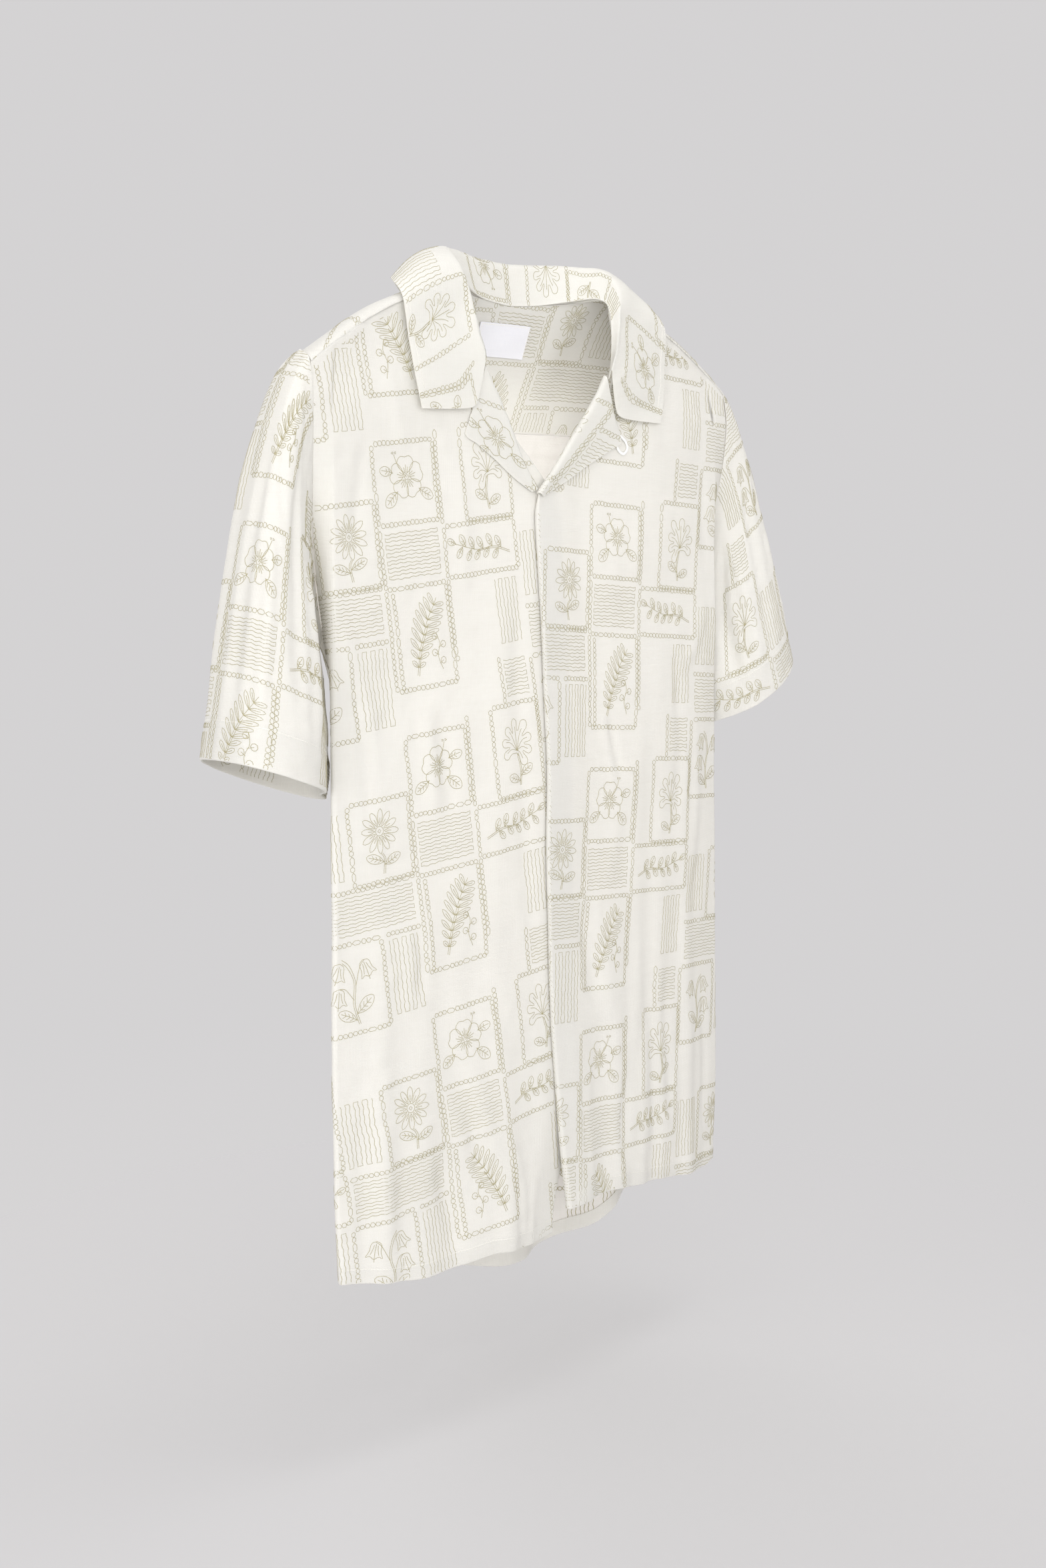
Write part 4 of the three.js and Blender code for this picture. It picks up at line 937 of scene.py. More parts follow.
def button_material():
    m, nt, new = nodes_of('pearly_button'); link = nt.links.new
    tc = new('ShaderNodeTexCoord'); no = new('ShaderNodeTexNoise', in_Scale=220.0, in_Detail=4.0, in_Distortion=1.5)
    link(tc.outputs['Object'], no.inputs['Vector'])
    col = new('ShaderNodeMix', data_type='RGBA'); col.inputs[6].default_value = (0.78, 0.75, 0.68, 1); col.inputs[7].default_value = (0.9, 0.88, 0.84, 1)
    link(no.outputs[0], col.inputs[0])
    b = new('ShaderNodeBsdfPrincipled'); b.inputs['Roughness'].default_value = 0.22; b.inputs['Coat Weight'].default_value = 0.4
    link(col.outputs[2], b.inputs['Base Color'])
    bmp = new('ShaderNodeBump', in_Strength=0.08, in_Distance=0.0005); link(no.outputs[0], bmp.inputs['Height']); link(bmp.outputs[0], b.inputs['Normal'])
    out = new('ShaderNodeOutputMaterial'); link(b.outputs[0], out.inputs[0])
    return m


M_BUTTON = button_material()
for n in range(1, 6):
    o = frame['nodes'][f'button_{n}']
    o.data.materials.clear(); o.data.materials.append(M_BUTTON)


# ---------- building the pieces ----------
made, spans = {}, {}


def facing_sign(N, G, way):
    return 1.0 if float((N * way).sum()) > 0 else -1.0


def level_flat(G, ref, start=0.0):
    """s by level arc length along each row, counted from the lap line or the middle; t by height"""
    d = np.linalg.norm(np.diff(G[:, :, :2], axis=1), axis=2)
    S = np.concatenate([np.zeros((len(G), 1)), np.cumsum(d, 1)], 1)
    return S - S[:, ref:ref + 1] + start, -G[:, :, 2]


def size_of(ob):
    me = ob.data
    a = np.zeros(len(me.polygons)); me.polygons.foreach_get("area", a)
    return float(a.sum()) / 2


def declare(ob, node, flat):
    """flat is the panel's cut box; the cut's own area is the cloth's"""
    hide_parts(*([node] if isinstance(node, str) else node))
    made[ob.name] = (flat, size_of(ob))


def embroider(name, panel, box, offset, lean, flip=False, face=1, keep=None):
    fr, fi, fg = design(box, offset, lean, flip)
    lines = fr + fi + fg
    spans[name] = (float(np.ptp(panel.S)), float(np.ptp(panel.T)))
    ob = thread(name + '_embroidery', panel, lines, M_THREAD, face, keep=keep)
    return ob


# creases of the fronts, in the front view (x, z): path, half width, depth (negative is a trough)
FRONT_CREASES = {
    -1: [
        ([(-118, -300), (-113, -345), (-106, -395)], 13, -2.2), ([(-134, -305), (-128, -350), (-122, -400)], 11, 1.5),
        ([(-196, -262), (-186, -330), (-182, -400)], 10, -1.8), ([(-205, -235), (-192, -290), (-170, -340)], 12, 1.6),
        ([(-142, -470), (-138, -500), (-139, -530)], 8, -1.8), ([(-152, -465), (-149, -505), (-152, -545)], 9, 1.2),
        ([(-118, -560), (-100, -620), (-86, -690)], 13, -1.9), ([(-100, -560), (-84, -615), (-68, -680)], 12, 1.5),
        ([(-130, -640), (-118, -690), (-110, -742)], 13, -2.4), ([(-60, -640), (-44, -690), (-36, -742)], 10, 1.6),
        ([(-30, -200), (-38, -300), (-34, -420), (-30, -520)], 13, -1.5), ([(-92, -120), (-86, -180), (-90, -240)], 14, 1.0),
        ([(-190, -560), (-180, -630), (-176, -720)], 12, 1.8), ([(-200, -600), (-196, -660), (-196, -735)], 7, -1.3),
        ([(-180, -110), (-186, -160), (-192, -205)], 10, -1.5), ([(-160, -60), (-150, -90), (-140, -130)], 13, 1.1)],
    1: [
        ([(62, -320), (70, -350), (80, -385)], 7, -1.9), ([(54, -318), (60, -350), (70, -392)], 8, 1.2),
        ([(20, -470), (34, -520), (44, -570)], 15, -2.0), ([(44, -470), (56, -530), (62, -590)], 12, 1.3),
        ([(150, -260), (158, -340), (150, -430)], 12, -2.0), ([(176, -300), (180, -400), (172, -500)], 11, 1.8),
        ([(140, -520), (134, -600), (140, -700)], 12, -2.2), ([(110, -560), (104, -640), (110, -722)], 12, 1.6),
        ([(188, -560), (194, -640), (190, -715)], 8, -1.8), ([(80, -620), (72, -670), (76, -718)], 11, -1.8),
        ([(30, -600), (24, -650), (20, -712)], 10, 1.3), ([(196, -230), (182, -270), (160, -300)], 11, 1.6),
        ([(190, -120), (192, -170), (196, -215)], 9, -1.5), ([(120, -50), (128, -90), (124, -130)], 13, 1.0)]}
BACK_CREASES = [
    ([(-195, -250), (-150, -330), (-120, -420)], 16, 2.4), ([(-190, -280), (-140, -370), (-110, -470)], 14, -2.4),
    ([(195, -250), (148, -320), (112, -400)], 16, 2.4), ([(188, -285), (140, -360), (104, -450)], 14, -2.4),
    ([(-60, -130), (-52, -200), (-58, -280)], 16, -2.2), ([(48, -130), (56, -210), (48, -300)], 15, 2.0),
    ([(0, -250), (-8, -360), (4, -470)], 17, -2.2), ([(90, -420), (80, -520), (92, -640)], 14, 2.2),
    ([(-100, -500), (-92, -600), (-104, -720)], 15, -2.4), ([(30, -560), (24, -660), (32, -770)], 12, -2.0),
    ([(-40, -600), (-46, -680), (-38, -780)], 12, 1.8), ([(150, -560), (156, -650), (146, -740)], 11, -2.0),
    ([(-160, -560), (-164, -640), (-154, -730)], 12, 1.9)]


def build_front(side):
    name = 'left_front' if side > 0 else 'right_front'
    G = front(side)
    N = normals(G); sg = facing_sign(N, G, np.array([0, -1, 0.]))
    N = N * sg
    x, z = G[:, :, 0], G[:, :, 2]
    d = sum(-stroke(x, z, p, h, -q) for p, h, q in FRONT_CREASES[side])
    near_hem = np.maximum(0, z - hem_z(side, x))
    d = d + wobble(x, z, 11 + side, 0.55, 120) * smooth(0, 40, np.abs(x) - 12)
    d = d + wobble(x * 1.2, z * .35, 17 + side, 0.5, 42) * smooth(-120, -300, z) + crumple(x, z, 61 + side)
    # the seams and the hem pucker a little
    d = d + 0.28 * np.sin(x / 7.3 + 1.7 * np.sin(x / 31)) * np.exp(-near_hem / 9)
    d = d + 0.35 * (1 - smooth(HEM_DEEP - 1.2, HEM_DEEP + 1.2, near_hem))
    edge = np.abs(x - (LAP if side < 0 else -LAP))
    low = smooth(BREAK_Z + 6, BREAK_Z - 20, z)
    # the front edge waves very slightly
    wav = (0.9 * np.sin(z / 47 + side) + 0.5 * np.sin(z / 19 + 2)) * np.exp(-edge / 14) * low
    calm = smooth(0, 9, np.abs(np.abs(x) - np.max(np.abs(x), axis=1, keepdims=True)))
    d = d * mix(1, calm, 0.6)
    if side < 0:
        d = d * smooth(-14, -26, x) + 0
    else:
        d = d * mix(0.3, 1, smooth(10, 40, x))
    G = G + N * d[:, :, None]
    if side > 0:
        G[:, :, 0] += wav
        # below the last button the free edge stands off and its corner droops
        swing = smooth(-560, -735, G[:, :, 2]) * (1 - smooth(-10, 64, G[:, :, 0]))
        G[:, :, 0] += 12 * swing; G[:, :, 1] -= 3 * swing; G[:, :, 2] -= 5 * swing
    else:
        swing = smooth(-628, -742, G[:, :, 2]) * smooth(-66, 10, G[:, :, 0])
        G[:, :, 0] -= 20 * swing; G[:, :, 1] += 6 * swing; G[:, :, 2] += 3 * swing
    # folded front edge
    js = G[:, 0, 2]
    under = smooth(BREAK_Z + 2, BREAK_Z - 14, js)
    r = mix(0.5, FOLD_R + 0.95 * smooth(-540, -720, js) if side > 0 else 0.6, under)
    deep = mix(2.5, FACING_DEEP, under)
    rest = np.full(len(js), 0.95)
    T = G.transpose(1, 0, 2)[::-1]; NT = (normals(G) * sg).transpose(1, 0, 2)[::-1]
    F = fold_rows(T, NT, r, deep, rest, 7)
    cols = F.shape[0] - T.shape[0]
    Gc = F[::-1].transpose(1, 0, 2)
    sg2 = facing_sign(normals(Gc)[:, cols:], Gc[:, cols:], np.array([0, -1, 0.]))
    Nc = normals(Gc) * sg2
    Gf = fold_rows(Gc, Nc, HEM_R, HEM_DEEP, 2 * HEM_R, 4)
    Nf = normals(Gf) * sg2
    ob = shell(name + '_cloth', Gf, Nf, CLOTH, [M_CLOTH, M_INSIDE_SHADED])
    S, Tt = level_flat(Gc, cols, side * Gc[:, cols:cols + 1, 0] + LAP)
    R = len(Gc)
    panel = Panel(Gc, Nf[:R], S, Tt)
    if side > 0:
        keep = lambda P, st: (st[:, 0] > -4.6)
    else:
        keep = lambda P, st: (st[:, 0] > 3) & ((P[:, 0] < -7.5) | (P[:, 2] < -650))
    box = (-6, -10, 245, 745)
    lean = math.radians(6.0 if side < 0 else 4.4)
    emb = embroider(name, panel, box, (18, -8) if side < 0 else (-52, 40), lean, flip=side < 0, keep=keep)
    # sewn hem
    line = hem_line(panel, S, Tt, HEM_DEEP - 1.5)
    sew = thread(name + '_hem_stitch', panel, [line], M_SEW, 1, 0.24, 0.12)
    parts = [emb, sew]
    if side > 0:
        # short slanting stitches down the folded edge, in the dark sage thread; they also stand in as painted shade for
        # the shadow line along the fold
        dash = [np.array([[-1.7 + 0.3 * math.sin(t), t], [-0.2 + 0.3 * math.sin(2 * t), t + 1.7]]) for t in np.arange(166, 730, 4.1)]
        parts.append(thread(name + '_edge_stitch_and_shade_line', panel, dash, M_THREAD, 1, 0.22, 0.16))
    return ob, parts, panel


def hem_line(panel, S, T, up, step=2.4):
    """flat line a set height above the last row"""
    s = np.arange(S[-1].min() + 1.5, S[-1].max() - 1.5, step)
    t = np.interp(s, S[-1], T[-1]) - up
    return np.stack([s, t], -1)


def build_back():
    G = back(); N = normals(G); sg = facing_sign(N, G, np.array([0, 1, 0.])); N = N * sg
    x, z = G[:, :, 0], G[:, :, 2]
    d = sum(-stroke(x, z, p, h, -q) for p, h, q in BACK_CREASES)
    d = d + wobble(x, z, 31, 0.8, 130) + wobble(x * 1.1, z * .3, 37, 0.7, 46) * smooth(-140, -360, z) + crumple(x, z, 66)
    ends = np.minimum(arc_cols(G), arc_cols(G[:, ::-1])[:, ::-1])
    d = d * smooth(0, 22, ends) * smooth(-102, -118, z)
    hem = G[-1:, :, 2]; up = np.maximum(0, z - hem)
    d = d + 0.3 * np.sin(x / 6.9 + 1.5 * np.sin(x / 27)) * np.exp(-up / 9) * smooth(0, 10, ends) + 0.3 * (1 - smooth(HEM_DEEP - 1.2, HEM_DEEP + 1.2, up)) * smooth(0, 10, ends)
    G = G + N * d[:, :, None]
    Gf = fold_rows(G, normals(G) * sg, HEM_R, HEM_DEEP, 2 * HEM_R, 4)
    Nf = normals(Gf) * sg
    ob = shell('back_cloth', Gf, Nf, CLOTH, [M_CLOTH, M_INSIDE_SHADED])
    S, T = level_flat(G, G.shape[1] // 2)
    panel = Panel(G, Nf[:len(G)], S, T)
    emb = embroider('back', panel, (-260, 98, 260, 806), (30, 20), math.radians(0.8))
    fr, fi, fg = design((-260, 98, 260, 806), (30, 20), math.radians(0.8))
    inner = thread('back_embroidery_reverse', panel, fr + fi + fg, M_THREAD, -1, 0.36, 0.12,
                   keep=lambda P, st: (st[:, 1] > 700))
    sew = thread('back_hem_stitch', panel, [hem_line(panel, S, T, HEM_DEEP - 1.5)], M_SEW, 1, 0.24, 0.12)
    return ob, [emb, inner, sew], panel


def arc_cols(G):
    d = np.linalg.norm(np.diff(G, axis=1), axis=2)
    return np.concatenate([np.zeros((len(G), 1)), np.cumsum(d, 1)], 1)


def build_yokes():
    G = yoke(); raw = normals(G); sg = facing_sign(raw, G, np.array([0, 0.6, 0.8])); N = raw * sg
    x = G[:, :, 0]
    T = arc_cols(G.transpose(1, 0, 2)).T; T = T - T[-1:]         # from the yoke seam up
    d = wobble(x, T, 51, 0.45, 90) * smooth(0, 12, T - T[:1]) * smooth(0, 12, -T)
    G = G + N * d[:, :, None]
    N = normals(G) * sg
    ob = shell('yoke_cloth', G, N, CLOTH, [M_CLOTH, M_INSIDE_SHADED])
    S = arc_cols(G); S = S - S[:, [S.shape[1] // 2]]
    panel = Panel(G, N, S, T)
    emb = embroider('yoke', panel, (-270, -175, 270, 4), (-10, 36), 0.0)
    sew = thread('yoke_stitch', panel, [np.stack([np.arange(-225, 225, 2.4), np.full(len(np.arange(-225, 225, 2.4)), -2.6)], -1)], M_SEW, 1, 0.24, 0.12)
    # the inner layer's right side faces the neck
    I = G - N * 1.5
    I = I[2:-1, 2:-2]; NI = -N[2:-1, 2:-2]
    ob2 = shell('inner_yoke_cloth', I, NI, CLOTH, [M_CLOTH, M_INSIDE_SHADED])
    p2 = Panel(I, NI, S[2:-1, 2:-2], T[2:-1, 2:-2])
    hid = lambda P, st: np.abs(P[:, 0]) < 150
    emb2 = embroider('inner_yoke', p2, (-160, -175, 160, 4), (24, -44), 0.0, flip=True, keep=hid)
    return (ob, [emb, sew]), (ob2, [emb2]), panel


# creases of a sleeve over (turn, share of its length)
SLEEVE_CREASES = [
    ([(118, .12), (122, .5), (124, .95)], 13, -3.4), ([(96, .3), (100, .6), (98, .97)], 11, 2.4), ([(140, .25), (146, .6), (146, .98)], 11, 2.2),
    ([(66, .15), (72, .5), (78, .9)], 12, -2.2), ([(40, .45), (44, .7), (42, .98)], 12, 1.8), ([(30, .08), (36, .3), (52, .5)], 12, -1.3),
    ([(16, .3), (10, .6), (14, .97)], 12, -1.6), ([(338, .2), (334, .5), (338, .96)], 13, 2.0), ([(300, .1), (306, .45), (300, .9)], 14, -2.4),
    ([(262, .2), (266, .6), (262, .97)], 13, 2.2), ([(236, .15), (238, .5), (232, .95)], 12, -2.6), ([(204, .2), (202, .6), (206, .96)], 12, 2.0),
    ([(176, .1), (172, .5), (176, .9)], 12, -1.6)]


def build_sleeve(side):
    name = 'left_sleeve' if side > 0 else 'right_sleeve'
    rows = np.concatenate([[-0.011], steps(0, 1, STEP / 285, 0.5 / 285)])
    turns = np.linspace(0, 360, 133)[:-1]
    G = sleeve(side, rows, turns)
    N = normals(G, True); centre = G.mean(1, keepdims=True); sg = 1.0 if float((N * (G - centre)).sum()) > 0 else -1.0
    N = N * sg
    tt, rr = np.broadcast_arrays(turns[None, :], rows[:, None])
    d = np.zeros(tt.shape)
    for p, h, q in SLEEVE_CREASES:
        p = [((a + (0 if side < 0 else 7 * math.sin(a))), b * 240) for a, b in p]
        for w in (0, 360, -360):
            d = d - stroke(tt + w, rr * 240, p, h, -q * (1.25 if side < 0 else 1.1))
    d = d + 0.5 * (np.sin(np.radians(tt * 3 + 40)) * np.sin(rr * 5 + 1) + np.sin(np.radians(tt * 5 + 200)) * np.sin(rr * 7)) * smooth(0, .15, rr)
    d = d + crumple(tt * 1.1, rr * 240, 68 + side) * np.minimum(1, np.sin(np.radians(tt) / 2) ** 2 * 8)
    d = d * smooth(0.0, 0.12, rr)
    # gathered a little at the armhole seam
    d = d + 0.4 * np.sin(np.radians(tt * 23)) * np.exp(-rr * 26) * smooth(0, .012, rr)
    col = np.linalg.norm(np.diff(G, axis=0), axis=2); down = np.concatenate([np.cumsum(col[::-1], 0)[::-1], np.zeros((1, G.shape[1]))])
    d = d + 0.35 * (1 - smooth(CUFF_DEEP - 1.5, CUFF_DEEP + 1.5, down)) + 0.22 * np.sin(np.radians(tt * 31)) * np.exp(-np.abs(down - CUFF_DEEP) / 5)
    G = G + N * d[:, :, None]
    closed = np.concatenate([G, G[:, :1]], 1)
    Gf = fold_rows(G, normals(G, True) * sg, 0.6, CUFF_DEEP, 1.15, 9)
    Nf = normals(Gf, True) * sg
    ob = shell(name + '_cloth', Gf, Nf, CLOTH, [M_CLOTH, M_INSIDE_SHADED], closed=True)
    Gm = np.concatenate([G, G[:, :1]], 1); Nm = np.concatenate([Nf[:len(G)], Nf[:len(G), :1]], 1)
    # the cut opens along the underarm
    k = Gm.shape[1] // 2
    Gm = np.concatenate([Gm[:, k:-1], Gm[:, :k + 1]], 1); Nm = np.concatenate([Nm[:, k:-1], Nm[:, :k + 1]], 1)
    S = arc_cols(Gm); S = S - S[:, [S.shape[1] // 2]]
    col = np.linalg.norm(np.diff(Gm, axis=0), axis=2); T = -np.concatenate([np.cumsum(col[::-1], 0)[::-1], np.zeros((1, Gm.shape[1]))])
    panel = Panel(Gm, Nm, S, T)
    emb = embroider(name, panel, (-235, -320, 235, 2), (12, 30) if side < 0 else (-40, 70), math.radians(2 if side < 0 else -2), flip=side > 0)
    sew = thread(name + '_hem_stitch', panel, [hem_line(panel, S, T, CUFF_DEEP - 2)], M_SEW, 1, 0.24, 0.12)
    # right side of the turned-up hem, seen inside
    n0 = len(G) + 6
    up = Gf[n0:]; nu = Nf[n0:]
    Um = np.concatenate([up, up[:, :1]], 1); Nu = np.concatenate([nu, nu[:, :1]], 1)
    Um = np.concatenate([Um[:, k:-1], Um[:, :k + 1]], 1); Nu = np.concatenate([Nu[:, k:-1], Nu[:, :k + 1]], 1)
    Su = arc_cols(Um); Su = Su - Su[:, [Su.shape[1] // 2]]
    cu = np.linalg.norm(np.diff(Um, axis=0), axis=2); Tu = np.concatenate([np.zeros((1, Um.shape[1])), np.cumsum(cu, 0)]) + 2
    pu = Panel(Um, Nu, Su, Tu)
    inn = embroider(name + '_turned_hem', pu, (-235, -2, 235, 34), (12, -130) if side < 0 else (-40, -90), 0.0)
    return ob, [emb, sew, inn], panel


def build_collar():
    G = collar(); raw = normals(G)
    m = G.shape[0]
    # the right side faces the neck on the stand and outward on the fall
    sg = facing_sign(raw[:6, 60:-60], G, np.array([0, -1.0, 0])); N = raw * sg
    T = arc_cols(G.transpose(1, 0, 2)).T
    S = arc_cols(G); S = S - S[:, [S.shape[1] // 2]]
    d = (wobble(S, T, 71, 0.4, 70) + crumple(S, T, 73, 0.12)) * smooth(3, 25, T)
    edge = T[-1:] - T
    d = d + 0.25 * (1 - smooth(4.5, 6.5, edge))
    ends = np.minimum(arc_cols(G), arc_cols(G[:, ::-1])[:, ::-1])
    d = d + 0.25 * (1 - smooth(4.5, 6.5, ends)) * smooth(30, 45, T)
    # slight ripples of the leaf
    d = d + 0.8 * np.sin(S / 21) * smooth(38, 70, T) * smooth(30, 60, np.abs(S))
    G = G + N * d[:, :, None]
    N = normals(G) * sg
    ob = shell('collar_cloth', G, N, 0.9, [M_CLOTH, M_CLOTH])
    even = np.repeat(S[[22]], len(S), 0)
    panel = Panel(G, N, even, T - T[-1:] + 96, thick=0.9)
    emb = embroider('collar', panel, (-260, -2, 260, 110), (-40, -9), 0.0)
    e = 5.5
    sline = np.arange(S[-1].min() + e, S[-1].max() - e, 2.4)
    run1 = np.stack([np.interp(sline, S[-1], even[-1]), np.full(len(sline), 96 - e)], -1)
    sew = thread('collar_stitch', panel, [run1], M_SEW, 1, 0.24, 0.14)
    return ob, [emb, sew], panel


def build_lapel(side):
    name = 'left_lapel' if side > 0 else 'right_lapel'
    G = lapel(side); raw = normals(G); sg = facing_sign(raw[:, 12:], G, np.array([0, -1.0, 0])); N = raw * sg
    S = arc_cols(G); T = -G[:, :, 2]
    ob = shell(name + '_cloth', G, N, 0.9, [M_CLOTH, M_CLOTH])
    X = G[:, :, 0]
    panel = Panel(G[:, 6:], N[:, 6:], S[:, 6:], T[:, 6:], thick=0.9)
    emb = embroider(name, panel, (0, 50, 60, 160), (-6, 14) if side < 0 else (20, -30), math.radians(14 * side))
    return ob, [emb], panel


right_front, right_front_parts, _ = build_front(-1)
left_front, left_front_parts, left_panel = build_front(1)
back_ob, back_parts, _ = build_back()
(yoke_ob, yoke_parts), (inner_ob, inner_parts), yoke_panel = build_yokes()
right_sleeve, right_sleeve_parts, _ = build_sleeve(-1)
left_sleeve, left_sleeve_parts, _ = build_sleeve(1)
collar_ob, collar_parts, _ = build_collar()
right_lapel, right_lapel_parts, _ = build_lapel(-1)
left_lapel, left_lapel_parts, _ = build_lapel(1)


# ---------- label, loop ----------
def build_label():
    """woven label sewn flat on the inner yoke, its sides lifted a little"""
    W, z0 = 26.5, -18.0
    cols = np.linspace(-W, W, 34); rows = np.linspace(0, LABEL_H, 18)
    G = np.zeros((len(rows), len(cols), 3))
    P = yoke_panel
    mid = P.S.shape[1] // 2
    row = int(np.argmin(np.abs(P.G[:, mid, 2] - (z0 - LABEL_H / 2))))
    for i, s in enumerate(cols):
        u = float(np.interp(s, P.G[row, :, 0], np.arange(P.S.shape[1])))
        k0, f = int(u), u - int(u)
        line = P.G[:, k0] * (1 - f) + P.G[:, k0 + 1] * f
        nor = unit(P.N[:, k0] * (1 - f) + P.N[:, k0 + 1] * f)
        for j, dz in enumerate(rows):
            v = np.interp(-(z0 - dz), -line[2:, 2], np.arange(2, len(line)))
            a, b = int(v), v - int(v)
            p, n = line[a] * (1 - b) + line[a + 1] * b, nor[a]
            lift = 2.6 + 0.45 * math.sin(s / 9.0 + dz / 15) * math.sin(math.pi * dz / LABEL_H) + 0.3 * (abs(s) / W) ** 6
            G[j, i] = p - n * lift
    N = normals(G); sg = facing_sign(N, G, np.array([0, -1.0, 0.2]))
    ob = shell('label_cloth', G, N * sg, 0.4, [M_LABEL])
    S = arc_cols(G); S = S - S[:, [len(cols) // 2]]; T = np.repeat(rows[:, None], len(cols), 1)
    pan = Panel(G, N * sg, S, T, thick=0.4)
    ed = [np.stack([np.arange(-W + 1.5, W - 1.5, 2), np.full(len(np.arange(-W + 1.5, W - 1.5, 2)), 1.3)], -1),
          np.stack([np.full(12, -W + 1.4), np.linspace(1.3, LABEL_H - 1.3, 12)], -1), np.stack([np.full(12, W - 1.4), np.linspace(1.3, LABEL_H - 1.3, 12)], -1)]
    sew = thread('label_stitch', pan, ed, M_SEW, 1, 0.2, 0.1)
    return ob, [sew]


def build_loop():
    """flat cord sewn in a loop below the tip of the left lapel"""
    path = [(78.5, -105), (81, -111.5), (84.5, -116), (89.5, -117.5), (93.5, -113.5), (92, -108.5), (87, -104.6), (83, -102.5)]
    P = catmull(path, 0.8)
    y = front_y(P[:, 0], P[:, 1]) - CLOTH / 2 - 0.75
    C = np.stack([P[:, 0], y, P[:, 1]], -1)
    tan = unit(np.gradient(C, axis=0)); out = np.array([0, -1.0, 0]) + 0 * tan; side = unit(np.cross(tan, out)); out = unit(np.cross(side, tan))
    a = np.linspace(0, 2 * math.pi, 13)[:-1]
    ring = side[:, None] * (1.1 * np.cos(a))[None, :, None] + out[:, None] * (0.6 * np.sin(a))[None, :, None]
    V = C[:, None] + ring; R, K = V.shape[:2]
    verts = np.concatenate([V.reshape(-1, 3), C[:1], C[-1:]])
    j, i = np.meshgrid(np.arange(R - 1), np.arange(K), indexing='ij'); j, i = j.ravel(), i.ravel(); i1 = (i + 1) % K
    q = np.stack([j * K + i, j * K + i1, (j + 1) * K + i1, (j + 1) * K + i], -1)
    caps = [[R * K, (k + 1) % K, k, R * K] for k in range(K)] + [[R * K + 1, (R - 1) * K + k, (R - 1) * K + (k + 1) % K, R * K + 1] for k in range(K)]
    n0 = np.cross(verts[q[0][1]] - verts[q[0][0]], verts[q[0][2]] - verts[q[0][0]]) @ (verts[q[0][0]] - C[0])
    if n0 < 0:
        q = q[:, ::-1]; caps = [c[:3][::-1] for c in caps]
    else:
        caps = [c[:3] for c in caps]
    bpy_mesh = bpy.data.meshes.new('button_loop')
    bpy_mesh.from_pydata((verts * MM).tolist(), [], q.tolist() + caps)
    bpy_mesh.update(); bpy_mesh.polygons.foreach_set("use_smooth", np.ones(len(bpy_mesh.polygons), bool))
    ob = bpy.data.objects.new('button_loop_cord', bpy_mesh); bpy.context.scene.collection.objects.link(ob)
    bpy_mesh.materials.append(M_CORD)
    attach(ob, root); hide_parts('button_loop')
    return ob


label_ob, label_parts = build_label()
loop_ob = build_loop()

# ---------- what each sheet is cut to: width, length, area in metres ----------
FLAT = {
    'right_front': (0.285, 0.755, 0.187), 'left_front': (0.292, 0.750, 0.189), 'back': (0.461, 0.715, 0.314),
    'yoke': (0.497, 0.140, 0.0526), 'inner_yoke': (0.487, 0.136, 0.0493), 'right_sleeve': (0.442, 0.323, 0.074),
    'left_sleeve': (0.441, 0.277, 0.0661), 'collar': (0.489, 0.099, 0.0352), 'right_lapel': (0.060, 0.092, 0.0038),
    'left_lapel': (0.060, 0.096, 0.0047), 'label': (0.053, 0.025, 0.001325)}
declare(right_front, 'right_front', FLAT['right_front'])
declare(left_front, ('left_front', 'left_facing'), FLAT['left_front'])
declare(back_ob, 'back', FLAT['back'])
declare(yoke_ob, 'yoke', FLAT['yoke'])
declare(inner_ob, 'inner_yoke', FLAT['inner_yoke'])
declare(right_sleeve, 'right_sleeve', FLAT['right_sleeve'])
declare(left_sleeve, 'left_sleeve', FLAT['left_sleeve'])
declare(collar_ob, 'collar', FLAT['collar'])
declare(right_lapel, 'right_lapel', FLAT['right_lapel'])
declare(left_lapel, 'left_lapel', FLAT['left_lapel'])
declare(label_ob, 'label', FLAT['label'])
for k, (f, a) in made.items():
    print('sheet', k, 'cut', f, 'cloth area', round(a, 5))
for k, v in spans.items():
    print('span', k, [round(a, 1) for a in v])
total = 0
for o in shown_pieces():
    if o.type == 'MESH' and 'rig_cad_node' not in o:
        n = sum(len(p.vertices) - 2 for p in o.data.polygons); total += n
        print('piece', o.name, n)
print('triangles added', total)

# ---------- camera ----------
A, PITCH = math.radians(-44.57), math.radians(7.4993)
F = Vector((-math.sin(A) * math.cos(PITCH), math.cos(A) * math.cos(PITCH), -math.sin(PITCH)))
cam = bpy.data.cameras.new('camera'); cam_ob = bpy.data.objects.new('camera', cam)
bpy.context.scene.collection.objects.link(cam_ob)
cam.sensor_fit = 'AUTO'; cam.sensor_width = 36.0; cam.lens = 2806.85 / 2351 * 36.0
cam.clip_start, cam.clip_end = 0.05, 100
cam_ob.location = (-1.0414, -1.035, -0.1843)
cam_ob.rotation_mode = 'QUATERNION'; cam_ob.rotation_quaternion = F.to_track_quat('-Z', 'Y')
bpy.context.scene.camera = cam_ob

# ---------- floor, backdrop and light ----------
FLOOR_Z = -0.872


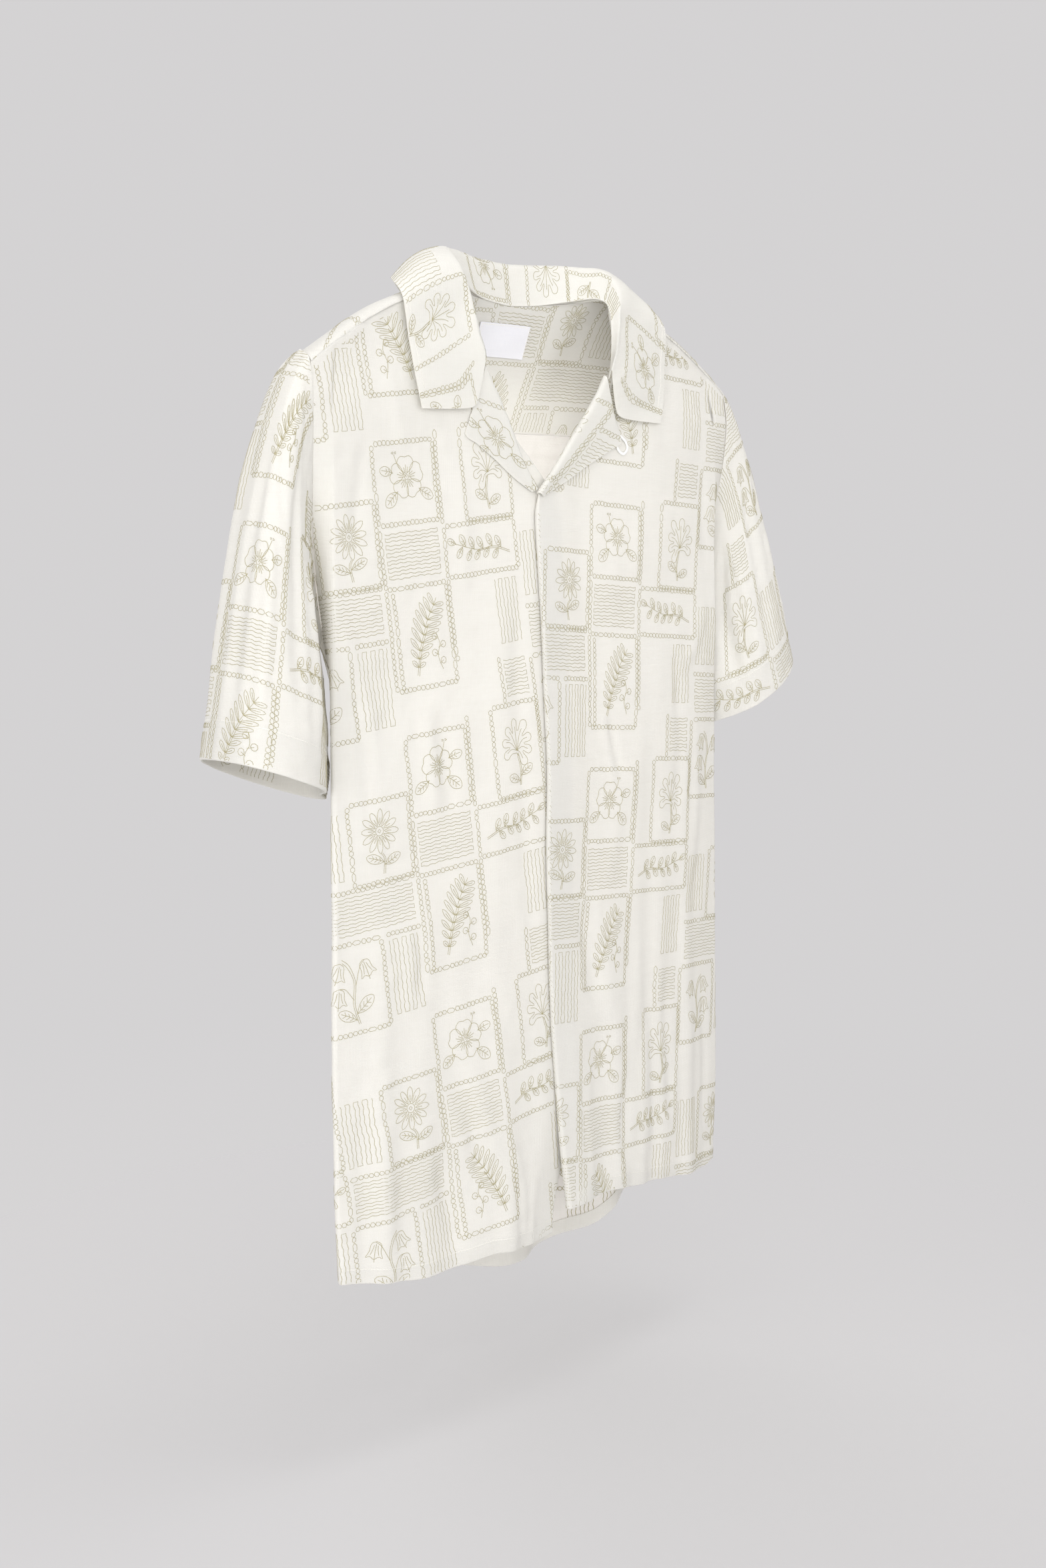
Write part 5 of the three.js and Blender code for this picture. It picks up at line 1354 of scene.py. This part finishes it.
def floor():
    """pale floor that fades into the backdrop's tone at its rim"""
    n, rings = 72, 24
    verts = [(0, 0, 0)]; faces = []
    for j in range(1, rings + 1):
        r = 2.6 * j / rings
        verts += [(r * math.cos(2 * math.pi * i / n), r * math.sin(2 * math.pi * i / n), 0) for i in range(n)]
    for i in range(n):
        faces.append((0, 1 + i, 1 + (i + 1) % n))
        for j in range(rings - 1):
            a = 1 + j * n
            faces.append((a + i, a + n + i, a + n + (i + 1) % n, a + (i + 1) % n))
    me = bpy.data.meshes.new('floor'); me.from_pydata(verts, [], faces); me.update()
    ob = bpy.data.objects.new('floor', me); bpy.context.scene.collection.objects.link(ob)
    ob.location = (0, 0, FLOOR_Z)
    m, nt, new = nodes_of('pale_floor'); link = nt.links.new
    tc = new('ShaderNodeTexCoord'); ln = new('ShaderNodeVectorMath', operation='LENGTH'); link(tc.outputs['Object'], ln.inputs[0])
    mr = new('ShaderNodeMapRange', in_1=0.2, in_2=1.35, in_3=0.55, in_4=0.0); mr.interpolation_type = 'SMOOTHSTEP'; link(ln.outputs['Value'], mr.inputs[0])
    no = new('ShaderNodeTexNoise', in_Scale=300.0, in_Detail=2.0); link(tc.outputs['Object'], no.inputs['Vector'])
    bmp = new('ShaderNodeBump', in_Strength=0.05, in_Distance=0.0005); link(no.outputs[0], bmp.inputs['Height'])
    d = new('ShaderNodeBsdfDiffuse'); d.inputs['Color'].default_value = (0.60, 0.592, 0.595, 1); link(bmp.outputs[0], d.inputs['Normal'])
    tr = new('ShaderNodeBsdfTransparent'); mx = new('ShaderNodeMixShader'); link(mr.outputs[0], mx.inputs[0])
    link(tr.outputs[0], mx.inputs[1]); link(d.outputs[0], mx.inputs[2])
    out = new('ShaderNodeOutputMaterial'); link(mx.outputs[0], out.inputs[0])
    me.materials.append(m)
    ob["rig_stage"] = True
    return ob


floor()
world = bpy.data.worlds.new('studio'); bpy.context.scene.world = world; world.use_nodes = True
bg = world.node_tree.nodes['Background']; bg.inputs[0].default_value = (0.66, 0.649, 0.654, 1); bg.inputs[1].default_value = 1.0


def area(name, azimuth, elevation, dist, w, h, power, target=(0, 0, -0.38), colour=(1, 1, 1), spread=math.pi):
    a, e = math.radians(azimuth), math.radians(elevation)
    way = Vector((math.sin(a) * math.cos(e), -math.cos(a) * math.cos(e), math.sin(e)))
    l = bpy.data.lights.new(name, 'AREA'); l.shape = 'RECTANGLE'; l.size, l.size_y, l.energy, l.color, l.spread = w, h, power, colour, spread
    ob = bpy.data.objects.new(name, l); bpy.context.scene.collection.objects.link(ob)
    ob.location = Vector(target) + way * dist
    ob.rotation_mode = 'QUATERNION'; ob.rotation_quaternion = (-way).to_track_quat('-Z', 'Y')


area('key', -90, 12, 2.4, 1.8, 2.2, 12.5, colour=(1, 0.998, 0.99))
area('front', -50, 11, 2.7, 2.2, 2.0, 39.5, colour=(1, 0.998, 0.994))
area('fill', -2, 8, 2.7, 2.2, 2.0, 21, colour=(1, 0.998, 0.994))
area('rear', 168, 18, 2.7, 2.2, 2.0, 30, colour=(1, 0.998, 0.994))
area('top', 48, 76, 2.2, 0.9, 0.9, 11)
area('neck', -22, 26, 0.8, 0.2, 0.2, 0.012, target=(0.012, 0.04, -0.06), spread=math.radians(17))
# a weak panel within the hollow, facing the back
inside = bpy.data.lights.new('inside', 'AREA'); inside.shape = 'RECTANGLE'
inside.size, inside.size_y, inside.energy = 0.28, 0.46, 0.34
inside_ob = bpy.data.objects.new('inside', inside); bpy.context.scene.collection.objects.link(inside_ob)
inside_ob.location = (0, 0.025, -0.31); inside_ob.rotation_euler = (math.pi / 2, 0, 0); inside_ob.visible_camera = False
bpy.context.scene.view_settings.view_transform = 'Standard'
bpy.context.scene.view_settings.look = 'None'
